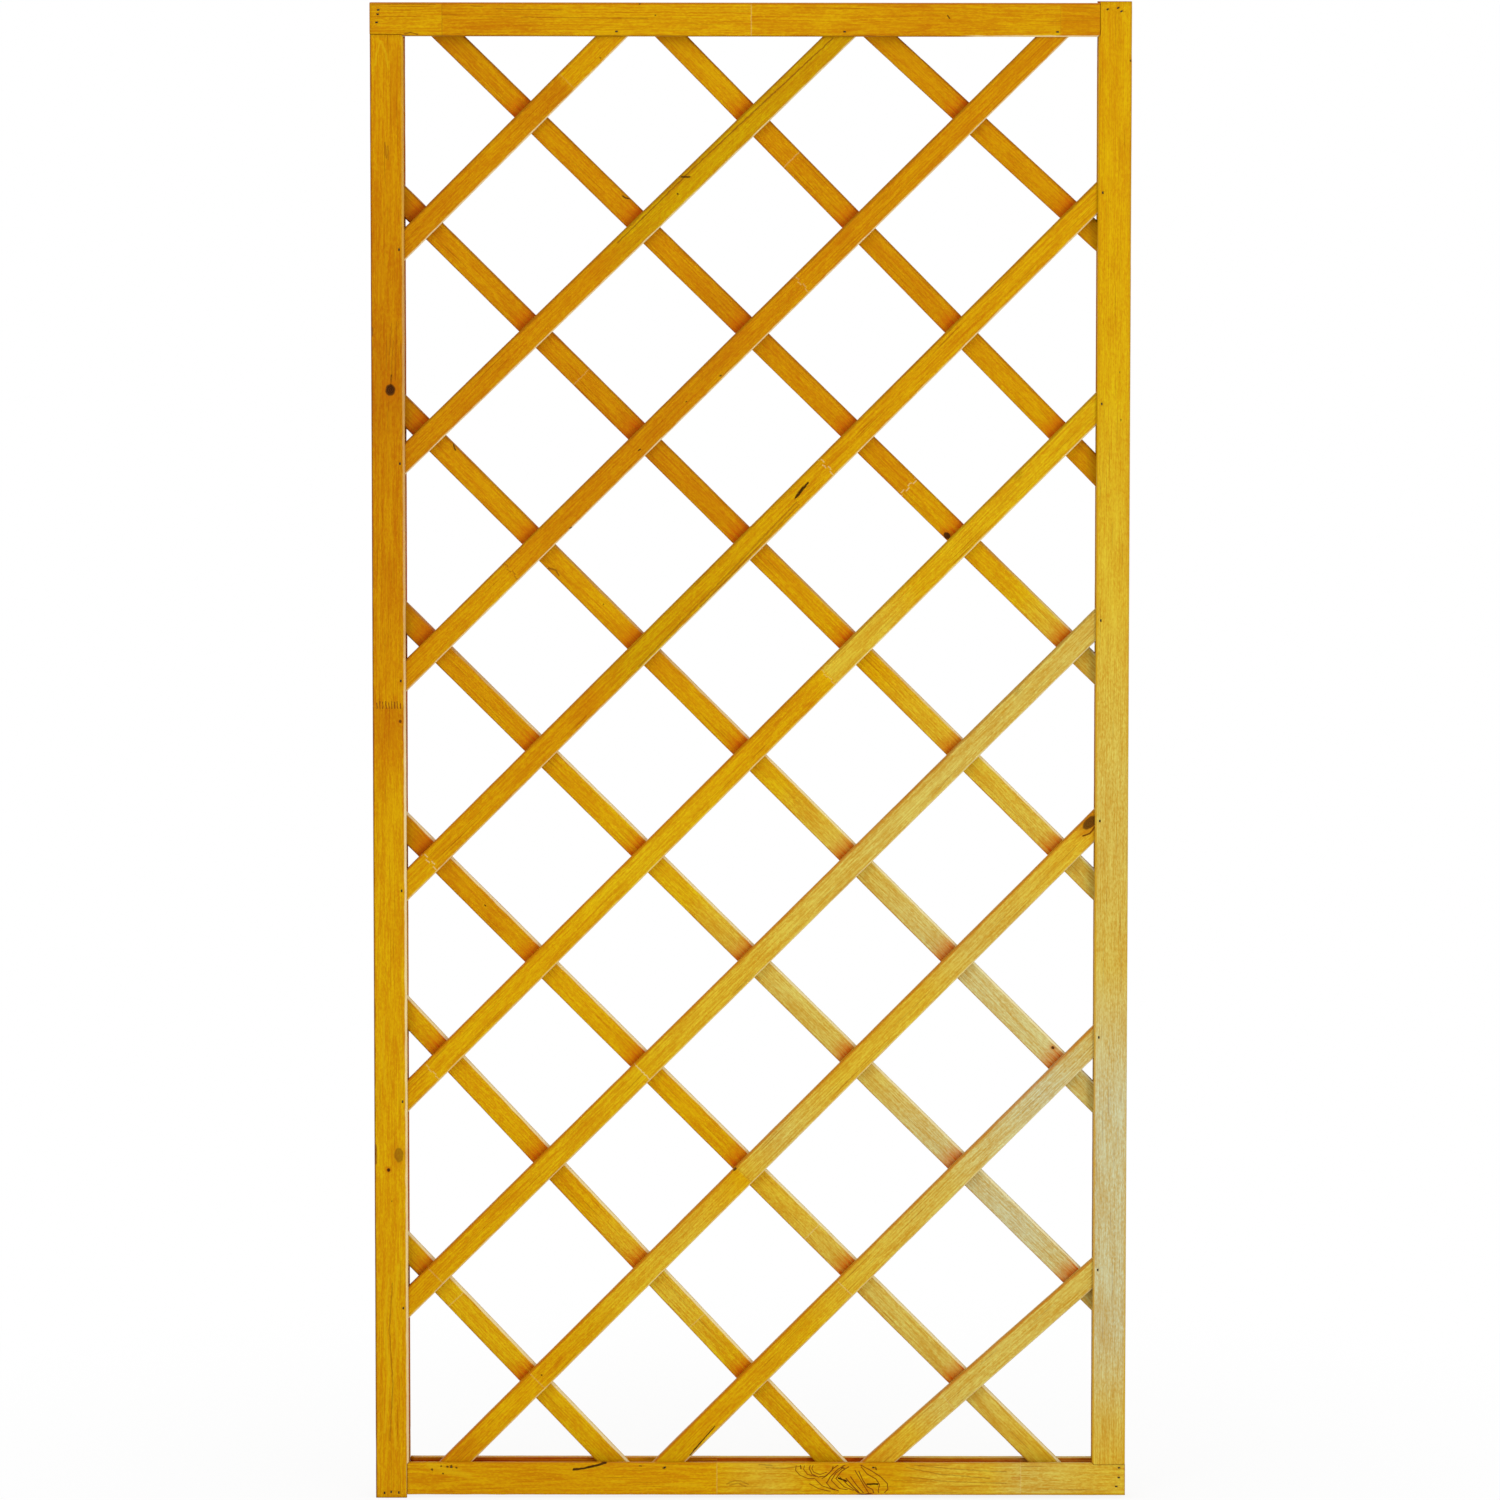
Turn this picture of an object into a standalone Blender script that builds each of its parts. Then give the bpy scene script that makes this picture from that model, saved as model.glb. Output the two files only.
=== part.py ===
# Garden trellis panel: a grooved softwood frame round two crossing layers of diagonal slats.
# Metres. X runs along the width, Z up, and the front faces -Y. The origin is under the middle of the panel.

import math

import bmesh
import bpy
from mathutils import Matrix, Vector

# The whole frame
frame_width = 0.904         # over both stiles
frame_height = 1.7945       # from under the bottom rail to the top of the top rail
foot_horn = 0.0035          # the left stile's end stands below the bottom rail by this much
head_horn = 0.002           # the right stile's end stands above the top rail by this much

# Frame members, all of one moulded section with a groove for both layers of slats
member_face = 0.040         # seen from the front
front_lip = 0.005           # wood in front of the groove
rear_lip = 0.0141           # wood behind it
groove_depth = 0.015
arris_radius = 0.0025       # rounding of the long edges
arris_steps = 4
arris_lip_share = 0.6       # the rounding takes at most this share of the thinner lip

# Corner joints: a haunched tenon in a slot that is open at the member's end
tenon_thickness = 0.015
shoulder_let_in = 0.0025    # the front shoulder covers the rounding of the member that it meets
joint_gap = 0.0005          # left open at the shoulders
wood_gap = 0.0003           # between other faces that touch

# Lattice slats
slat_width = 0.028
slat_thickness = 0.012
slat_arris = 0.0015
slat_arris_steps = 2
slat_play = 0.0008          # between a slat's face and the wall of the groove
slat_end_gap = 0.001        # between a slat's end and the bottom of the groove
slat_spacing = 0.255        # between neighbours' centre lines, measured straight up
least_slat = 0.150          # a line that crosses the opening for less than this gets no slat

# How far each slat's left and right end lies off its place, in shares of the spacing.
# The key is the slat's step up from the one through the middle of the opening.
front_slip_shares = {
    4: (0.010, 0.010), 3: (0.010, -0.050), 2: (-0.010, -0.040), 1: (0.000, 0.000),
    0: (0.000, 0.015), -1: (0.015, 0.000), -2: (0.030, 0.055), -3: (0.020, 0.030),
    -4: (0.030, -0.075),
}
rear_slip_shares = {
    4: (-0.035, 0.050), 3: (-0.010, -0.045), 2: (-0.050, 0.020), 1: (-0.025, 0.000),
    0: (-0.005, -0.010), -1: (0.025, 0.045), -2: (0.030, 0.020), -3: (0.155, 0.010),
    -4: (0.030, -0.025),
}
unslipped_shares = (0.000, 0.000)

# Brads: headed wire nails of a square section, driven from the front
brad_wire = 0.0012
brad_head_length = 0.0026
brad_head_width = 0.0014
brad_head_height = 0.001
brad_point = 0.0015
brad_tip_share = 0.5        # the blunt tip's width, as a share of the wire's
brad_sink = 0.0005          # from the face of the wood to the head
brad_clearance = 0.0003
corner_brad_share = 0.78    # a corner brad's length, as a share of the member's depth
slat_brad_bite_share = 0.9  # how far a slat brad goes into the slat, as a share of its thickness
slat_brad_inset = 0.006     # from the frame's inner edge

# Each corner's brads: how far from the end and from the outer side, in shares of the member's face
corner_brad_shares = {
    "top_left": ((0.26, 0.22), (0.24, 0.35), (0.21, 0.59)),
    "top_right": ((0.18, 0.73), (0.14, 0.42), (0.24, 0.32)),
    "bottom_right": ((0.18, 0.85), (0.19, 0.55), (0.26, 0.28)),
    "bottom_left": ((0.06, 0.26), (0.09, 0.46), (0.07, 0.69)),
}
corner_brad_turns = {"top_left": 0, "top_right": -35, "bottom_right": 0, "bottom_left": 90}

overrun = 0.010             # how far a cut runs past the wood
sharpest_smooth = 40        # degrees between faces that are shaded as one surface
wood_colour = (0.62, 0.32, 0.012)
rear_wood_colour = (0.58, 0.29, 0.010)
brad_colour = (0.10, 0.055, 0.03)

# Sizes and places that follow from these
groove_width = 2 * slat_thickness + 2 * slat_play + wood_gap
member_depth = front_lip + groove_width + rear_lip
front_face = -member_depth / 2
rear_face = member_depth / 2
groove_front = front_face + front_lip
groove_back = groove_front + groove_width
front_slat_middle = groove_front + slat_play + slat_thickness / 2
rear_slat_middle = front_slat_middle + slat_thickness + wood_gap
solid_face = member_face - groove_depth     # the part of a member's face that the groove leaves whole
arris = min(arris_radius, min(front_lip, rear_lip) * arris_lip_share)
corner_brad_length = member_depth * corner_brad_share
slat_brad_length = front_lip - brad_sink + slat_play + slat_thickness * slat_brad_bite_share
side_x = frame_width / 2
bottom_z = foot_horn
top_z = foot_horn + frame_height
opening_x = side_x - member_face
opening_bottom = bottom_z + member_face
opening_top = top_z - member_face

# Each member starts at the corner where it runs through, and stands out there by its horn.
# Its turn, in degrees about Y, carries its length from +X, and its outer side faces local +Z.
members = {
    "top_rail": dict(
        corner="top_left", length=frame_width, horn=0, turn=0, start=(-side_x, 0, top_z)
    ),
    "right_stile": dict(
        corner="top_right", length=frame_height, horn=head_horn, turn=90, start=(side_x, 0, top_z)
    ),
    "bottom_rail": dict(
        corner="bottom_right", length=frame_width, horn=0, turn=180, start=(side_x, 0, bottom_z)
    ),
    "left_stile": dict(
        corner="bottom_left", length=frame_height, horn=foot_horn, turn=270, start=(-side_x, 0, bottom_z)
    ),
}


def make_material(name, colour, roughness, metallic=0.0):
    material = bpy.data.materials.new(name)
    material.use_nodes = True
    shader = material.node_tree.nodes["Principled BSDF"]
    shader.inputs["Base Color"].default_value = (*colour, 1.0)
    shader.inputs["Roughness"].default_value = roughness
    shader.inputs["Metallic"].default_value = metallic
    return material


def add_object(name, mesh, material=None):
    made = bpy.data.objects.new(name, mesh)
    bpy.context.scene.collection.objects.link(made)
    if material:
        mesh.materials.append(material)
        mesh.shade_smooth()
        mesh.set_sharp_from_angle(angle=math.radians(sharpest_smooth))
    return made


def add_cutter(name, mesh):
    cutter = add_object(name, mesh)
    cutter.hide_render = True
    cutter.display_type = "WIRE"
    return cutter


def prism(name, outline, start, end, axis):
    """A closed prism whose outline, in the plane across the axis, runs from start to end along it."""
    shape = bmesh.new()
    point = {
        "X": lambda a, b, along: (along, a, b),
        "Y": lambda a, b, along: (a, along, b),
    }[axis]
    base = shape.faces.new([shape.verts.new(point(a, b, start)) for a, b in outline])
    swept = bmesh.ops.extrude_face_region(shape, geom=[base])
    moved = [part for part in swept["geom"] if isinstance(part, bmesh.types.BMVert)]
    bmesh.ops.translate(shape, verts=moved, vec=point(0, 0, end - start))
    bmesh.ops.recalc_face_normals(shape, faces=shape.faces[:])
    mesh = bpy.data.meshes.new(name)
    shape.to_mesh(mesh)
    shape.free()
    return mesh


def box(name, low, high):
    outline = ((low[1], low[2]), (high[1], low[2]), (high[1], high[2]), (low[1], high[2]))
    return prism(name, outline, low[0], high[0], "X")


def cut(piece, cutter, operation="DIFFERENCE"):
    boolean = piece.modifiers.new(cutter.name, "BOOLEAN")
    boolean.operation = operation
    boolean.solver = "EXACT"
    boolean.object = cutter


def rounded(corner, way_in, way_out):
    """Points of a quarter round that replaces a corner reached by way_in and left by way_out."""
    centre = Vector(corner) + (Vector(way_out) - Vector(way_in)) * arris
    points = []
    for step in range(arris_steps + 1):
        angle = math.radians(90) * step / arris_steps
        points.append(
            centre - Vector(way_out) * arris * math.cos(angle) + Vector(way_in) * arris * math.sin(angle)
        )
    return points


def member_section():
    """The moulded section, across (Y, Z), with the outer side at Z 0 and the groove in the inner side."""
    inner = -member_face
    groove_bottom = -solid_face
    return [
        *rounded((front_face, 0), (0, 1), (1, 0)),
        *rounded((rear_face, 0), (1, 0), (0, -1)),
        *rounded((rear_face, inner), (0, -1), (-1, 0)),
        Vector((groove_back, inner)),
        Vector((groove_back, groove_bottom)),
        Vector((groove_front, groove_bottom)),
        Vector((groove_front, inner)),
        *rounded((front_face, inner), (-1, 0), (0, 1)),
    ]


def tenon_cutters(name, length):
    """What is cut away round the haunch and the tenon at a member's far end."""
    inner_edge = length - member_face
    shoulder = inner_edge + shoulder_let_in - joint_gap
    haunch_end = inner_edge + groove_depth - wood_gap
    haunch_front = groove_front + wood_gap
    haunch_back = groove_back - wood_gap
    past = length + overrun
    low, high = -member_face - overrun, overrun
    mitre_z = -member_face + shoulder_let_in
    front_outline = (
        (shoulder, high),
        (past, high),
        (past, low),
        (shoulder - (mitre_z - low), low),
        (shoulder, mitre_z),
    )
    return [
        add_cutter(
            name + "_front_shoulder_cut",
            prism(name, front_outline, front_face - overrun, haunch_front, "Y"),
        ),
        add_cutter(
            name + "_tenon_front_cut",
            box(name, (haunch_end, front_face - overrun, low), (past, -tenon_thickness / 2, high)),
        ),
        add_cutter(
            name + "_tenon_back_cut",
            box(name, (haunch_end, tenon_thickness / 2, low), (past, rear_face + overrun, high)),
        ),
        add_cutter(
            name + "_rear_shoulder_cut",
            box(name, (inner_edge - joint_gap, haunch_back, low), (past, rear_face + overrun, high)),
        ),
    ]


def slot_cutters(name, horn):
    """The open slot for the next member's tenon, and the step that its front shoulder covers."""
    before = -horn - overrun
    slot_half = tenon_thickness / 2 + wood_gap
    low, high = -member_face - overrun, overrun
    step_z = -member_face + shoulder_let_in
    step_x = member_face - shoulder_let_in
    step_outline = (
        (before, step_z),
        (step_x, step_z),
        (step_x + (step_z - low), low),
        (before, low),
    )
    return [
        add_cutter(
            name + "_slot_cut",
            box(name, (before, -slot_half, low), (solid_face + wood_gap, slot_half, high)),
        ),
        add_cutter(
            name + "_step_cut",
            prism(name, step_outline, front_face - overrun, groove_front + wood_gap, "Y"),
        ),
    ]


def make_member(name, material):
    sizes = members[name]
    length, horn = sizes["length"], sizes["horn"]
    member = add_object(name, prism(name, member_section(), -horn, length - wood_gap, "X"), material)
    for cutter in tenon_cutters(name, length) + slot_cutters(name, horn):
        cutter.parent = member
        cut(member, cutter)
    member.location = sizes["start"]
    member.rotation_euler = (0, math.radians(sizes["turn"]), 0)
    return member


def line_ends(slope, height):
    """Where the line of that slope, at that height on the panel's middle, meets the frame's inner edges."""
    at_bottom = (opening_bottom - height) / slope
    at_top = (opening_top - height) / slope
    left = max(-opening_x, min(at_bottom, at_top))
    right = min(opening_x, max(at_bottom, at_top))
    return Vector((left, slope * left + height)), Vector((right, slope * right + height))


def slat_place_name(step):
    if step == 0:
        return "middle"
    return f"up_{step}" if step > 0 else f"down_{-step}"


def slat_lines(slope, slip_shares):
    """Each slat's place, top down, and its centre line's ends, across (X, Z), on the frame's inner edges."""
    middle = (opening_bottom + opening_top) / 2
    reach = math.ceil((frame_width + frame_height) / slat_spacing)
    lines = {}
    for step in range(reach, -reach - 1, -1):
        height = middle + step * slat_spacing
        left, right = line_ends(slope, height)
        if right.x <= left.x or (right - left).length < least_slat:
            continue
        left_slip, right_slip = slip_shares.get(step, unslipped_shares)
        left = line_ends(slope, height + left_slip * slat_spacing)[0]
        right = line_ends(slope, height + right_slip * slat_spacing)[1]
        lines[slat_place_name(step)] = (left, right)
    return lines


def lattice_space():
    """The room that the slats fill: the opening and the grooves round it, but for the corners."""
    reach = groove_depth - slat_end_gap
    side, low, high = opening_x, opening_bottom, opening_top
    outline = [
        (-side, low - reach), (side, low - reach), (side, low), (side + reach, low),
        (side + reach, high), (side, high), (side, high + reach), (-side, high + reach),
        (-side, high), (-side - reach, high), (-side - reach, low), (-side, low),
    ]
    return add_cutter("lattice_space", prism("lattice_space", outline, front_face, rear_face, "Y"))


def make_slat(name, ends, middle_y, space, material):
    left, right = ends
    along = right - left
    half_length = along.length / 2 + member_face + slat_width
    half_width, half_thickness = slat_width / 2, slat_thickness / 2
    mesh = box(
        name,
        (-half_length, -half_thickness, -half_width),
        (half_length, half_thickness, half_width),
    )
    slat = add_object(name, mesh, material)
    easing = slat.modifiers.new("eased_edges", "BEVEL")
    easing.width = slat_arris
    easing.segments = slat_arris_steps
    cut(slat, space, "INTERSECT")
    middle = (left + right) / 2
    slat.location = (middle.x, middle_y, middle.y)
    slat.rotation_euler = (0, -math.atan2(along.y, along.x), 0)
    return slat


def brad_mesh(name, length, growth=0.0, head_top=0.0):
    """A brad along +Y with the top of its head at Y 0. Growth and a raised head top make its hole."""
    shape = bmesh.new()
    bmesh.ops.create_cube(shape, size=1)
    width = brad_head_length + 2 * growth
    thickness = brad_head_height + head_top + growth
    breadth = brad_head_width + 2 * growth
    middle = Matrix.Translation((0, thickness / 2 - head_top, 0))
    sized = Matrix.Diagonal((width, thickness, breadth, 1))
    bmesh.ops.transform(shape, matrix=middle @ sized, verts=shape.verts)
    shape.normal_update()
    under = max(shape.faces, key=lambda face: face.calc_center_median().y)
    wire = brad_wire / 2 + growth
    tip = brad_wire * brad_tip_share / 2 + growth
    for half_side, depth in ((wire, 0), (wire, length - brad_point), (tip, length + growth)):
        grown = bmesh.ops.extrude_discrete_faces(shape, faces=[under])["faces"][0]
        for vertex in grown.verts:
            vertex.co.x = math.copysign(half_side, vertex.co.x)
            vertex.co.z = math.copysign(half_side, vertex.co.z)
            vertex.co.y = max(vertex.co.y, depth)
        under = grown
    mesh = bpy.data.meshes.new(name)
    shape.to_mesh(mesh)
    shape.free()
    return mesh


def make_brad(name, place, turn, length, pieces, material):
    """A brad at place, across (X, Z), with its hole through the pieces that it holds."""
    location = (place.x, front_face + brad_sink, place.y)
    rotation = (0, math.radians(turn), 0)
    brad = add_object(name, brad_mesh(name, length), material)
    hole = add_cutter(name + "_hole", brad_mesh(name + "_hole", length, brad_clearance, overrun))
    for made in (brad, hole):
        made.location = location
        made.rotation_euler = rotation
    for piece in pieces:
        cut(piece, hole)
    return brad


def corner_place(name, shares):
    """Where a corner brad stands, across (X, Z), from its shares of the member's face."""
    from_end, from_side = shares
    local = Vector((from_end * member_face, 0, -from_side * member_face))
    turn = Matrix.Rotation(math.radians(members[name]["turn"]), 3, "Y")
    place = Vector(members[name]["start"]) + turn @ local
    return Vector((place.x, place.z))


def make_corner_brads(frame, material):
    """The member before each one, round the frame, is the one that stops against it."""
    order = list(members)
    for name, stopped in zip(order, order[-1:] + order[:-1]):
        corner = members[name]["corner"]
        for number, shares in enumerate(corner_brad_shares[corner], 1):
            make_brad(
                f"{corner}_brad_{number}",
                corner_place(name, shares),
                corner_brad_turns[corner],
                corner_brad_length,
                (frame[name], frame[stopped]),
                material,
            )


def member_at(end):
    """The member whose inner edge a slat's centre line ends on."""
    off_edge = {
        "bottom_rail": end.y - opening_bottom,
        "top_rail": opening_top - end.y,
        "left_stile": end.x + opening_x,
        "right_stile": opening_x - end.x,
    }
    return min(off_edge, key=off_edge.get)


def make_slat_brads(slat, ends, frame, material):
    left, right = ends
    along = (right - left).normalized()
    for side, end, outward in (("left", left, -along), ("right", right, along)):
        name = member_at(end)
        on_stile = name.endswith("stile")
        across = abs(outward.x) if on_stile else abs(outward.y)
        make_brad(
            f"{slat.name}_{side}_brad",
            end + outward * slat_brad_inset / across,
            90 if on_stile else 0,
            slat_brad_length,
            (frame[name], slat),
            material,
        )


def build_panel():
    wood = make_material("stained_pine", wood_colour, 0.5)
    rear_wood = make_material("stained_pine_rear", rear_wood_colour, 0.55)
    steel = make_material("brad_steel", brad_colour, 0.55, 0.9)
    frame = {name: make_member(name, wood) for name in members}
    space = lattice_space()
    for place, ends in slat_lines(1, front_slip_shares).items():
        slat = make_slat(f"front_slat_{place}", ends, front_slat_middle, space, wood)
        make_slat_brads(slat, ends, frame, steel)
    for place, ends in slat_lines(-1, rear_slip_shares).items():
        make_slat(f"rear_slat_{place}", ends, rear_slat_middle, space, rear_wood)
    make_corner_brads(frame, steel)


for left_over in list(bpy.data.objects):
    bpy.data.objects.remove(left_over, do_unlink=True)
build_panel()
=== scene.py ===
import math

import bmesh
import bpy
from mathutils import Matrix, Vector, noise


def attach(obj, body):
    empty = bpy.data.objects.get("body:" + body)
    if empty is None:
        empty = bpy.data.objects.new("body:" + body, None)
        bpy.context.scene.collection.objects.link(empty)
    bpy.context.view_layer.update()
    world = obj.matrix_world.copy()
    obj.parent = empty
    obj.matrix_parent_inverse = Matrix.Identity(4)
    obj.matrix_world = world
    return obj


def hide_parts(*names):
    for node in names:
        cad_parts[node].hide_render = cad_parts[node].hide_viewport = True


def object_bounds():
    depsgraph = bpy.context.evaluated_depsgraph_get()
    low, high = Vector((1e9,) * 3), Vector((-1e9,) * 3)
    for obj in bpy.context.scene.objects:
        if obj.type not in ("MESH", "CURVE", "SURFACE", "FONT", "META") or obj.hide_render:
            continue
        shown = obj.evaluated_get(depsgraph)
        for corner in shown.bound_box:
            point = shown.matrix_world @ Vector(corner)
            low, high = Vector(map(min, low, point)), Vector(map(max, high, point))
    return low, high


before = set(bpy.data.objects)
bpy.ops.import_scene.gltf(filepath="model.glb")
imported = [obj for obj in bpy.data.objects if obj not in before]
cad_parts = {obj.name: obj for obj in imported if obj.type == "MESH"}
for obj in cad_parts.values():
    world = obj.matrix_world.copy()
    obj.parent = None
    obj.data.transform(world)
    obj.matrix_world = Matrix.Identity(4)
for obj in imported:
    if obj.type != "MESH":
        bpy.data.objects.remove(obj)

# Garden trellis panel: stained pine frame, two layers of slats, brads in front, staples behind.
# The panel is in metres, with its front towards -Y. Places on a piece are in millimetres:
# along its grain from its left or lower end, and across from its centre line.

mm = 0.001
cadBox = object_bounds()

# camera, floor and light

shot = dict(
    distance=9.0, height=1.85, offset=0.07, aim=(0.07, -0.0225, 1.006),
    lens=181.16, shift=(-0.0395, -0.0544), roll=0.06,
)
studio = dict(
    ambient=0.80,
    keyPlace=(3.2, -5.4, 0.5), keyAim=(0.0, 0.0, 0.85), keySize=2.6, keyPower=125.0,
    fillPlace=(-2.2, -5.2, 4.4), fillAim=(0.0, 0.0, 0.9), fillSize=3.2, fillPower=55.0,
)
floorLook = dict(size=400.0, nearFade=0.0, farFade=1.5, nearShare=0.86, paleness=0.9, drop=0.0004)


def lookAt(thing, place, aim, roll=0.0):
    thing.location = place
    turn = (Vector(aim) - Vector(place)).to_track_quat("-Z", "Y").to_matrix()
    thing.rotation_euler = (turn @ Matrix.Rotation(math.radians(roll), 3, "Z")).to_euler()


def makeCamera():
    data = bpy.data.cameras.new("camera")
    camera = bpy.data.objects.new("camera", data)
    bpy.context.scene.collection.objects.link(camera)
    data.lens = shot["lens"]
    data.shift_x, data.shift_y = shot["shift"]
    data.clip_end = 500
    lookAt(camera, (shot["offset"], -shot["distance"], shot["height"]), shot["aim"], shot["roll"])
    bpy.context.scene.camera = camera


def softLamp(name, place, aim, size, power):
    data = bpy.data.lights.new(name, "AREA")
    data.shape = "DISK"
    data.size = size
    data.energy = power
    lamp = bpy.data.objects.new(name, data)
    bpy.context.scene.collection.objects.link(lamp)
    lookAt(lamp, place, aim)
    return lamp


# short calls for nodes


def put(tree, socket, value):
    if isinstance(value, bpy.types.NodeSocket):
        tree.links.new(value, socket)
    elif value is not None:
        socket.default_value = value


def addNode(tree, kind, inputs=(), **settings):
    node = tree.nodes.new("ShaderNode" + kind)
    for name, value in settings.items():
        setattr(node, name, value)
    for socket, value in zip(node.inputs, inputs):
        put(tree, socket, value)
    return node


def calc(tree, operation, *values, clamp=False):
    return addNode(tree, "Math", values, operation=operation, use_clamp=clamp).outputs[0]


def vector(tree, operation, *values):
    return addNode(tree, "VectorMath", values, operation=operation).outputs[0]


def ease(tree, value, low, high, start=0.0, end=1.0):
    node = addNode(tree, "MapRange", (value, low, high, start, end), interpolation_type="SMOOTHSTEP")
    return node.outputs[0]


def tint(tree, share, base, top, way="MIX"):
    node = addNode(tree, "Mix", data_type="RGBA", blend_type=way)
    for number, value in ((0, share), (6, base), (7, top)):
        put(tree, node.inputs[number], value)
    return node.outputs[2]


def clouds(tree, place, stretch, seed, detail=2.0, roughness=0.5):
    # noise whose patches are as long, deep and wide as stretch says, in millimetres
    node = addNode(tree, "TexNoise", noise_dimensions="4D")
    shares = tuple(1.0 / size for size in stretch)
    put(tree, node.inputs["Vector"], vector(tree, "MULTIPLY", place, shares))
    for name, value in (("W", seed), ("Scale", 1.0), ("Detail", detail), ("Roughness", roughness)):
        put(tree, node.inputs[name], value)
    return node


def stain(name):
    # a stain's paint-chart colour, as the renderer counts it
    code = stains[name]
    parts = [int(code[n:n + 2], 16) / 255 for n in (1, 3, 5)]
    return (*[p / 12.92 if p <= 0.04045 else ((p + 0.055) / 1.055) ** 2.4 for p in parts], 1.0)


def toneAlong(tree, along, tones, length):
    # a run of colours along a piece, each at its place in millimetres: stains, and also the painted glare and
    # the edge bands' painted highlights and shade
    node = addNode(tree, "ValToRGB", (calc(tree, "DIVIDE", along, length),))
    stops = node.color_ramp.elements
    while len(stops) < len(tones):
        stops.new(0.5)
    while len(stops) > len(tones):
        stops.remove(stops[-1])
    for stop, (place, name, *share) in zip(stops, tones):
        stop.position = min(max(place / length, 0.0), 1.0)
        stop.color = (*stain(name)[:3], *(share or (1.0,)))
    return node.outputs[0]


# pine

# the stains that show on the wood, what lies on it, and the colours of the steel
# painted light among them: the deep orange-red is the painted shadow beside each crossing; straw, wheat, pale
# and flax, toward the panel's lower right, are painted glare, the lamp's reflection washed into the wood's
# colour; cream, russet and brown also paint the edge bands' highlights and shade
stains = dict(
    umber="#b77201", rust="#bf7e01", amber="#c68901", olive="#c19601", honey="#cb9602",
    gold="#cf9e03", butter="#d0a70c", straw="#d0ae2e", wheat="#ccb350", pale="#cabb76",
    flax="#c4bb8a", cream="#ecdfae", russet="#b66402", emberShade="#d26203", brown="#74390a",
    bark="#351606", steel="#57493c", soot="#261c14", scale="#4e2409",
)
# how each kind of stroke looks: its stain, how much of it shows, and how far its edge fades
strokeKinds = dict(
    crack=("bark", 0.95, 0.5), mark=("bark", 0.85, 0.7), brown=("brown", 0.7, 0.8),
    warm=("russet", 0.45, 1.0), pale=("butter", 0.6, 1.0), line=("brown", 0.45, 0.8),
    vein=("brown", 1.0, 0.5),
)


def newGroup(name, given, taken):
    tree = bpy.data.node_groups.new(name, "ShaderNodeTree")
    for label in given:
        kind = "NodeSocketVector" if label in ("Place", "Start", "End") else "NodeSocketFloat"
        tree.interface.new_socket(label, in_out="INPUT", socket_type=kind)
    for label in taken:
        tree.interface.new_socket(label, in_out="OUTPUT", socket_type="NodeSocketFloat")
    return tree, tree.nodes.new("NodeGroupInput").outputs, tree.nodes.new("NodeGroupOutput").inputs


def useGroup(tree, group, *values):
    node = tree.nodes.new("ShaderNodeGroup")
    node.node_tree = group
    for socket, value in zip(node.inputs, values):
        put(tree, socket, value)
    return node.outputs


# the patterns in the grain: how long, deep and wide their patches are in millimetres, then the
# step to their own seed, their detail and their roughness
grainPatterns = dict(
    streak=((240, 3.0, 3.0), 11.0, 3.0, 0.6), fibre=((34, 1.25, 1.25), 17.0, 2.0, 0.6),
    fleck=((4.5, 1.7, 1.7), 19.0, 2.0, 0.6), blotch=((70, 15, 15), 23.0, 3.0, 0.5),
    hair=((75, 0.95, 0.95), 29.0, 1.0, 0.4),
)


def makeGrain():
    # one group for all the wood: growth rings round a pith, streaks, fibres and blotches
    tree, given, taken = newGroup(
        "pineGrain",
        ("Place", "Seed", "Pith Across", "Pith Deep", "Lean Across", "Lean Deep", "Ring Width",
         "Sway", "Bulge"),
        ("Ring", "Ring Tone", "Streak", "Fibre", "Fleck", "Blotch", "Hair"),
    )
    place, seed, sway = given["Place"], given["Seed"], given["Sway"]
    slow = clouds(tree, place, (260, 80, 80), seed).outputs["Color"]
    quick = clouds(tree, place, (42, 13, 13), calc(tree, "ADD", seed, 7.0), 3.0).outputs["Color"]
    slow = vector(tree, "SUBTRACT", slow, (0.5, 0.5, 0.5))
    quick = vector(tree, "SUBTRACT", quick, (0.5, 0.5, 0.5))
    slow = vector(tree, "SCALE", slow, None, None, sway)
    quick = vector(tree, "SCALE", quick, None, None, calc(tree, "MULTIPLY", sway, 0.14))
    moved = vector(tree, "ADD", place, vector(tree, "ADD", slow, quick))
    along, deep, across = addNode(tree, "SeparateXYZ", (moved,)).outputs
    across = calc(tree, "ADD", calc(tree, "ADD", across, given["Pith Across"]),
                  calc(tree, "MULTIPLY", along, given["Lean Across"]))
    deep = calc(tree, "ADD", calc(tree, "ADD", deep, given["Pith Deep"]),
                calc(tree, "MULTIPLY", along, given["Lean Deep"]))
    radius = calc(tree, "SQRT", calc(tree, "ADD", calc(tree, "MULTIPLY", across, across),
                                     calc(tree, "MULTIPLY", deep, deep)))
    radius = calc(tree, "ADD", radius, given["Bulge"])
    uneven = clouds(tree, place, (900, 30, 30), calc(tree, "ADD", seed, 3.0), 1.0).outputs[0]
    turns = calc(tree, "ADD", calc(tree, "DIVIDE", radius, given["Ring Width"]),
                 calc(tree, "MULTIPLY", uneven, 1.6))
    part = calc(tree, "FRACT", turns)
    ring = calc(tree, "MULTIPLY", ease(tree, part, 0.15, 0.85), ease(tree, part, 1.0, 0.88))
    ringTone = addNode(tree, "TexWhiteNoise", noise_dimensions="1D")
    put(tree, ringTone.inputs["W"], calc(tree, "ADD", calc(tree, "FLOOR", turns), seed))
    patterns = [
        clouds(tree, place, stretch, calc(tree, "ADD", seed, step), detail, roughness).outputs[0]
        for stretch, step, detail, roughness in grainPatterns.values()
    ]
    results = (ring, ringTone.outputs[0], *patterns)
    for socket, value in zip(taken, results):
        tree.links.new(value, socket)
    return tree


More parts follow.
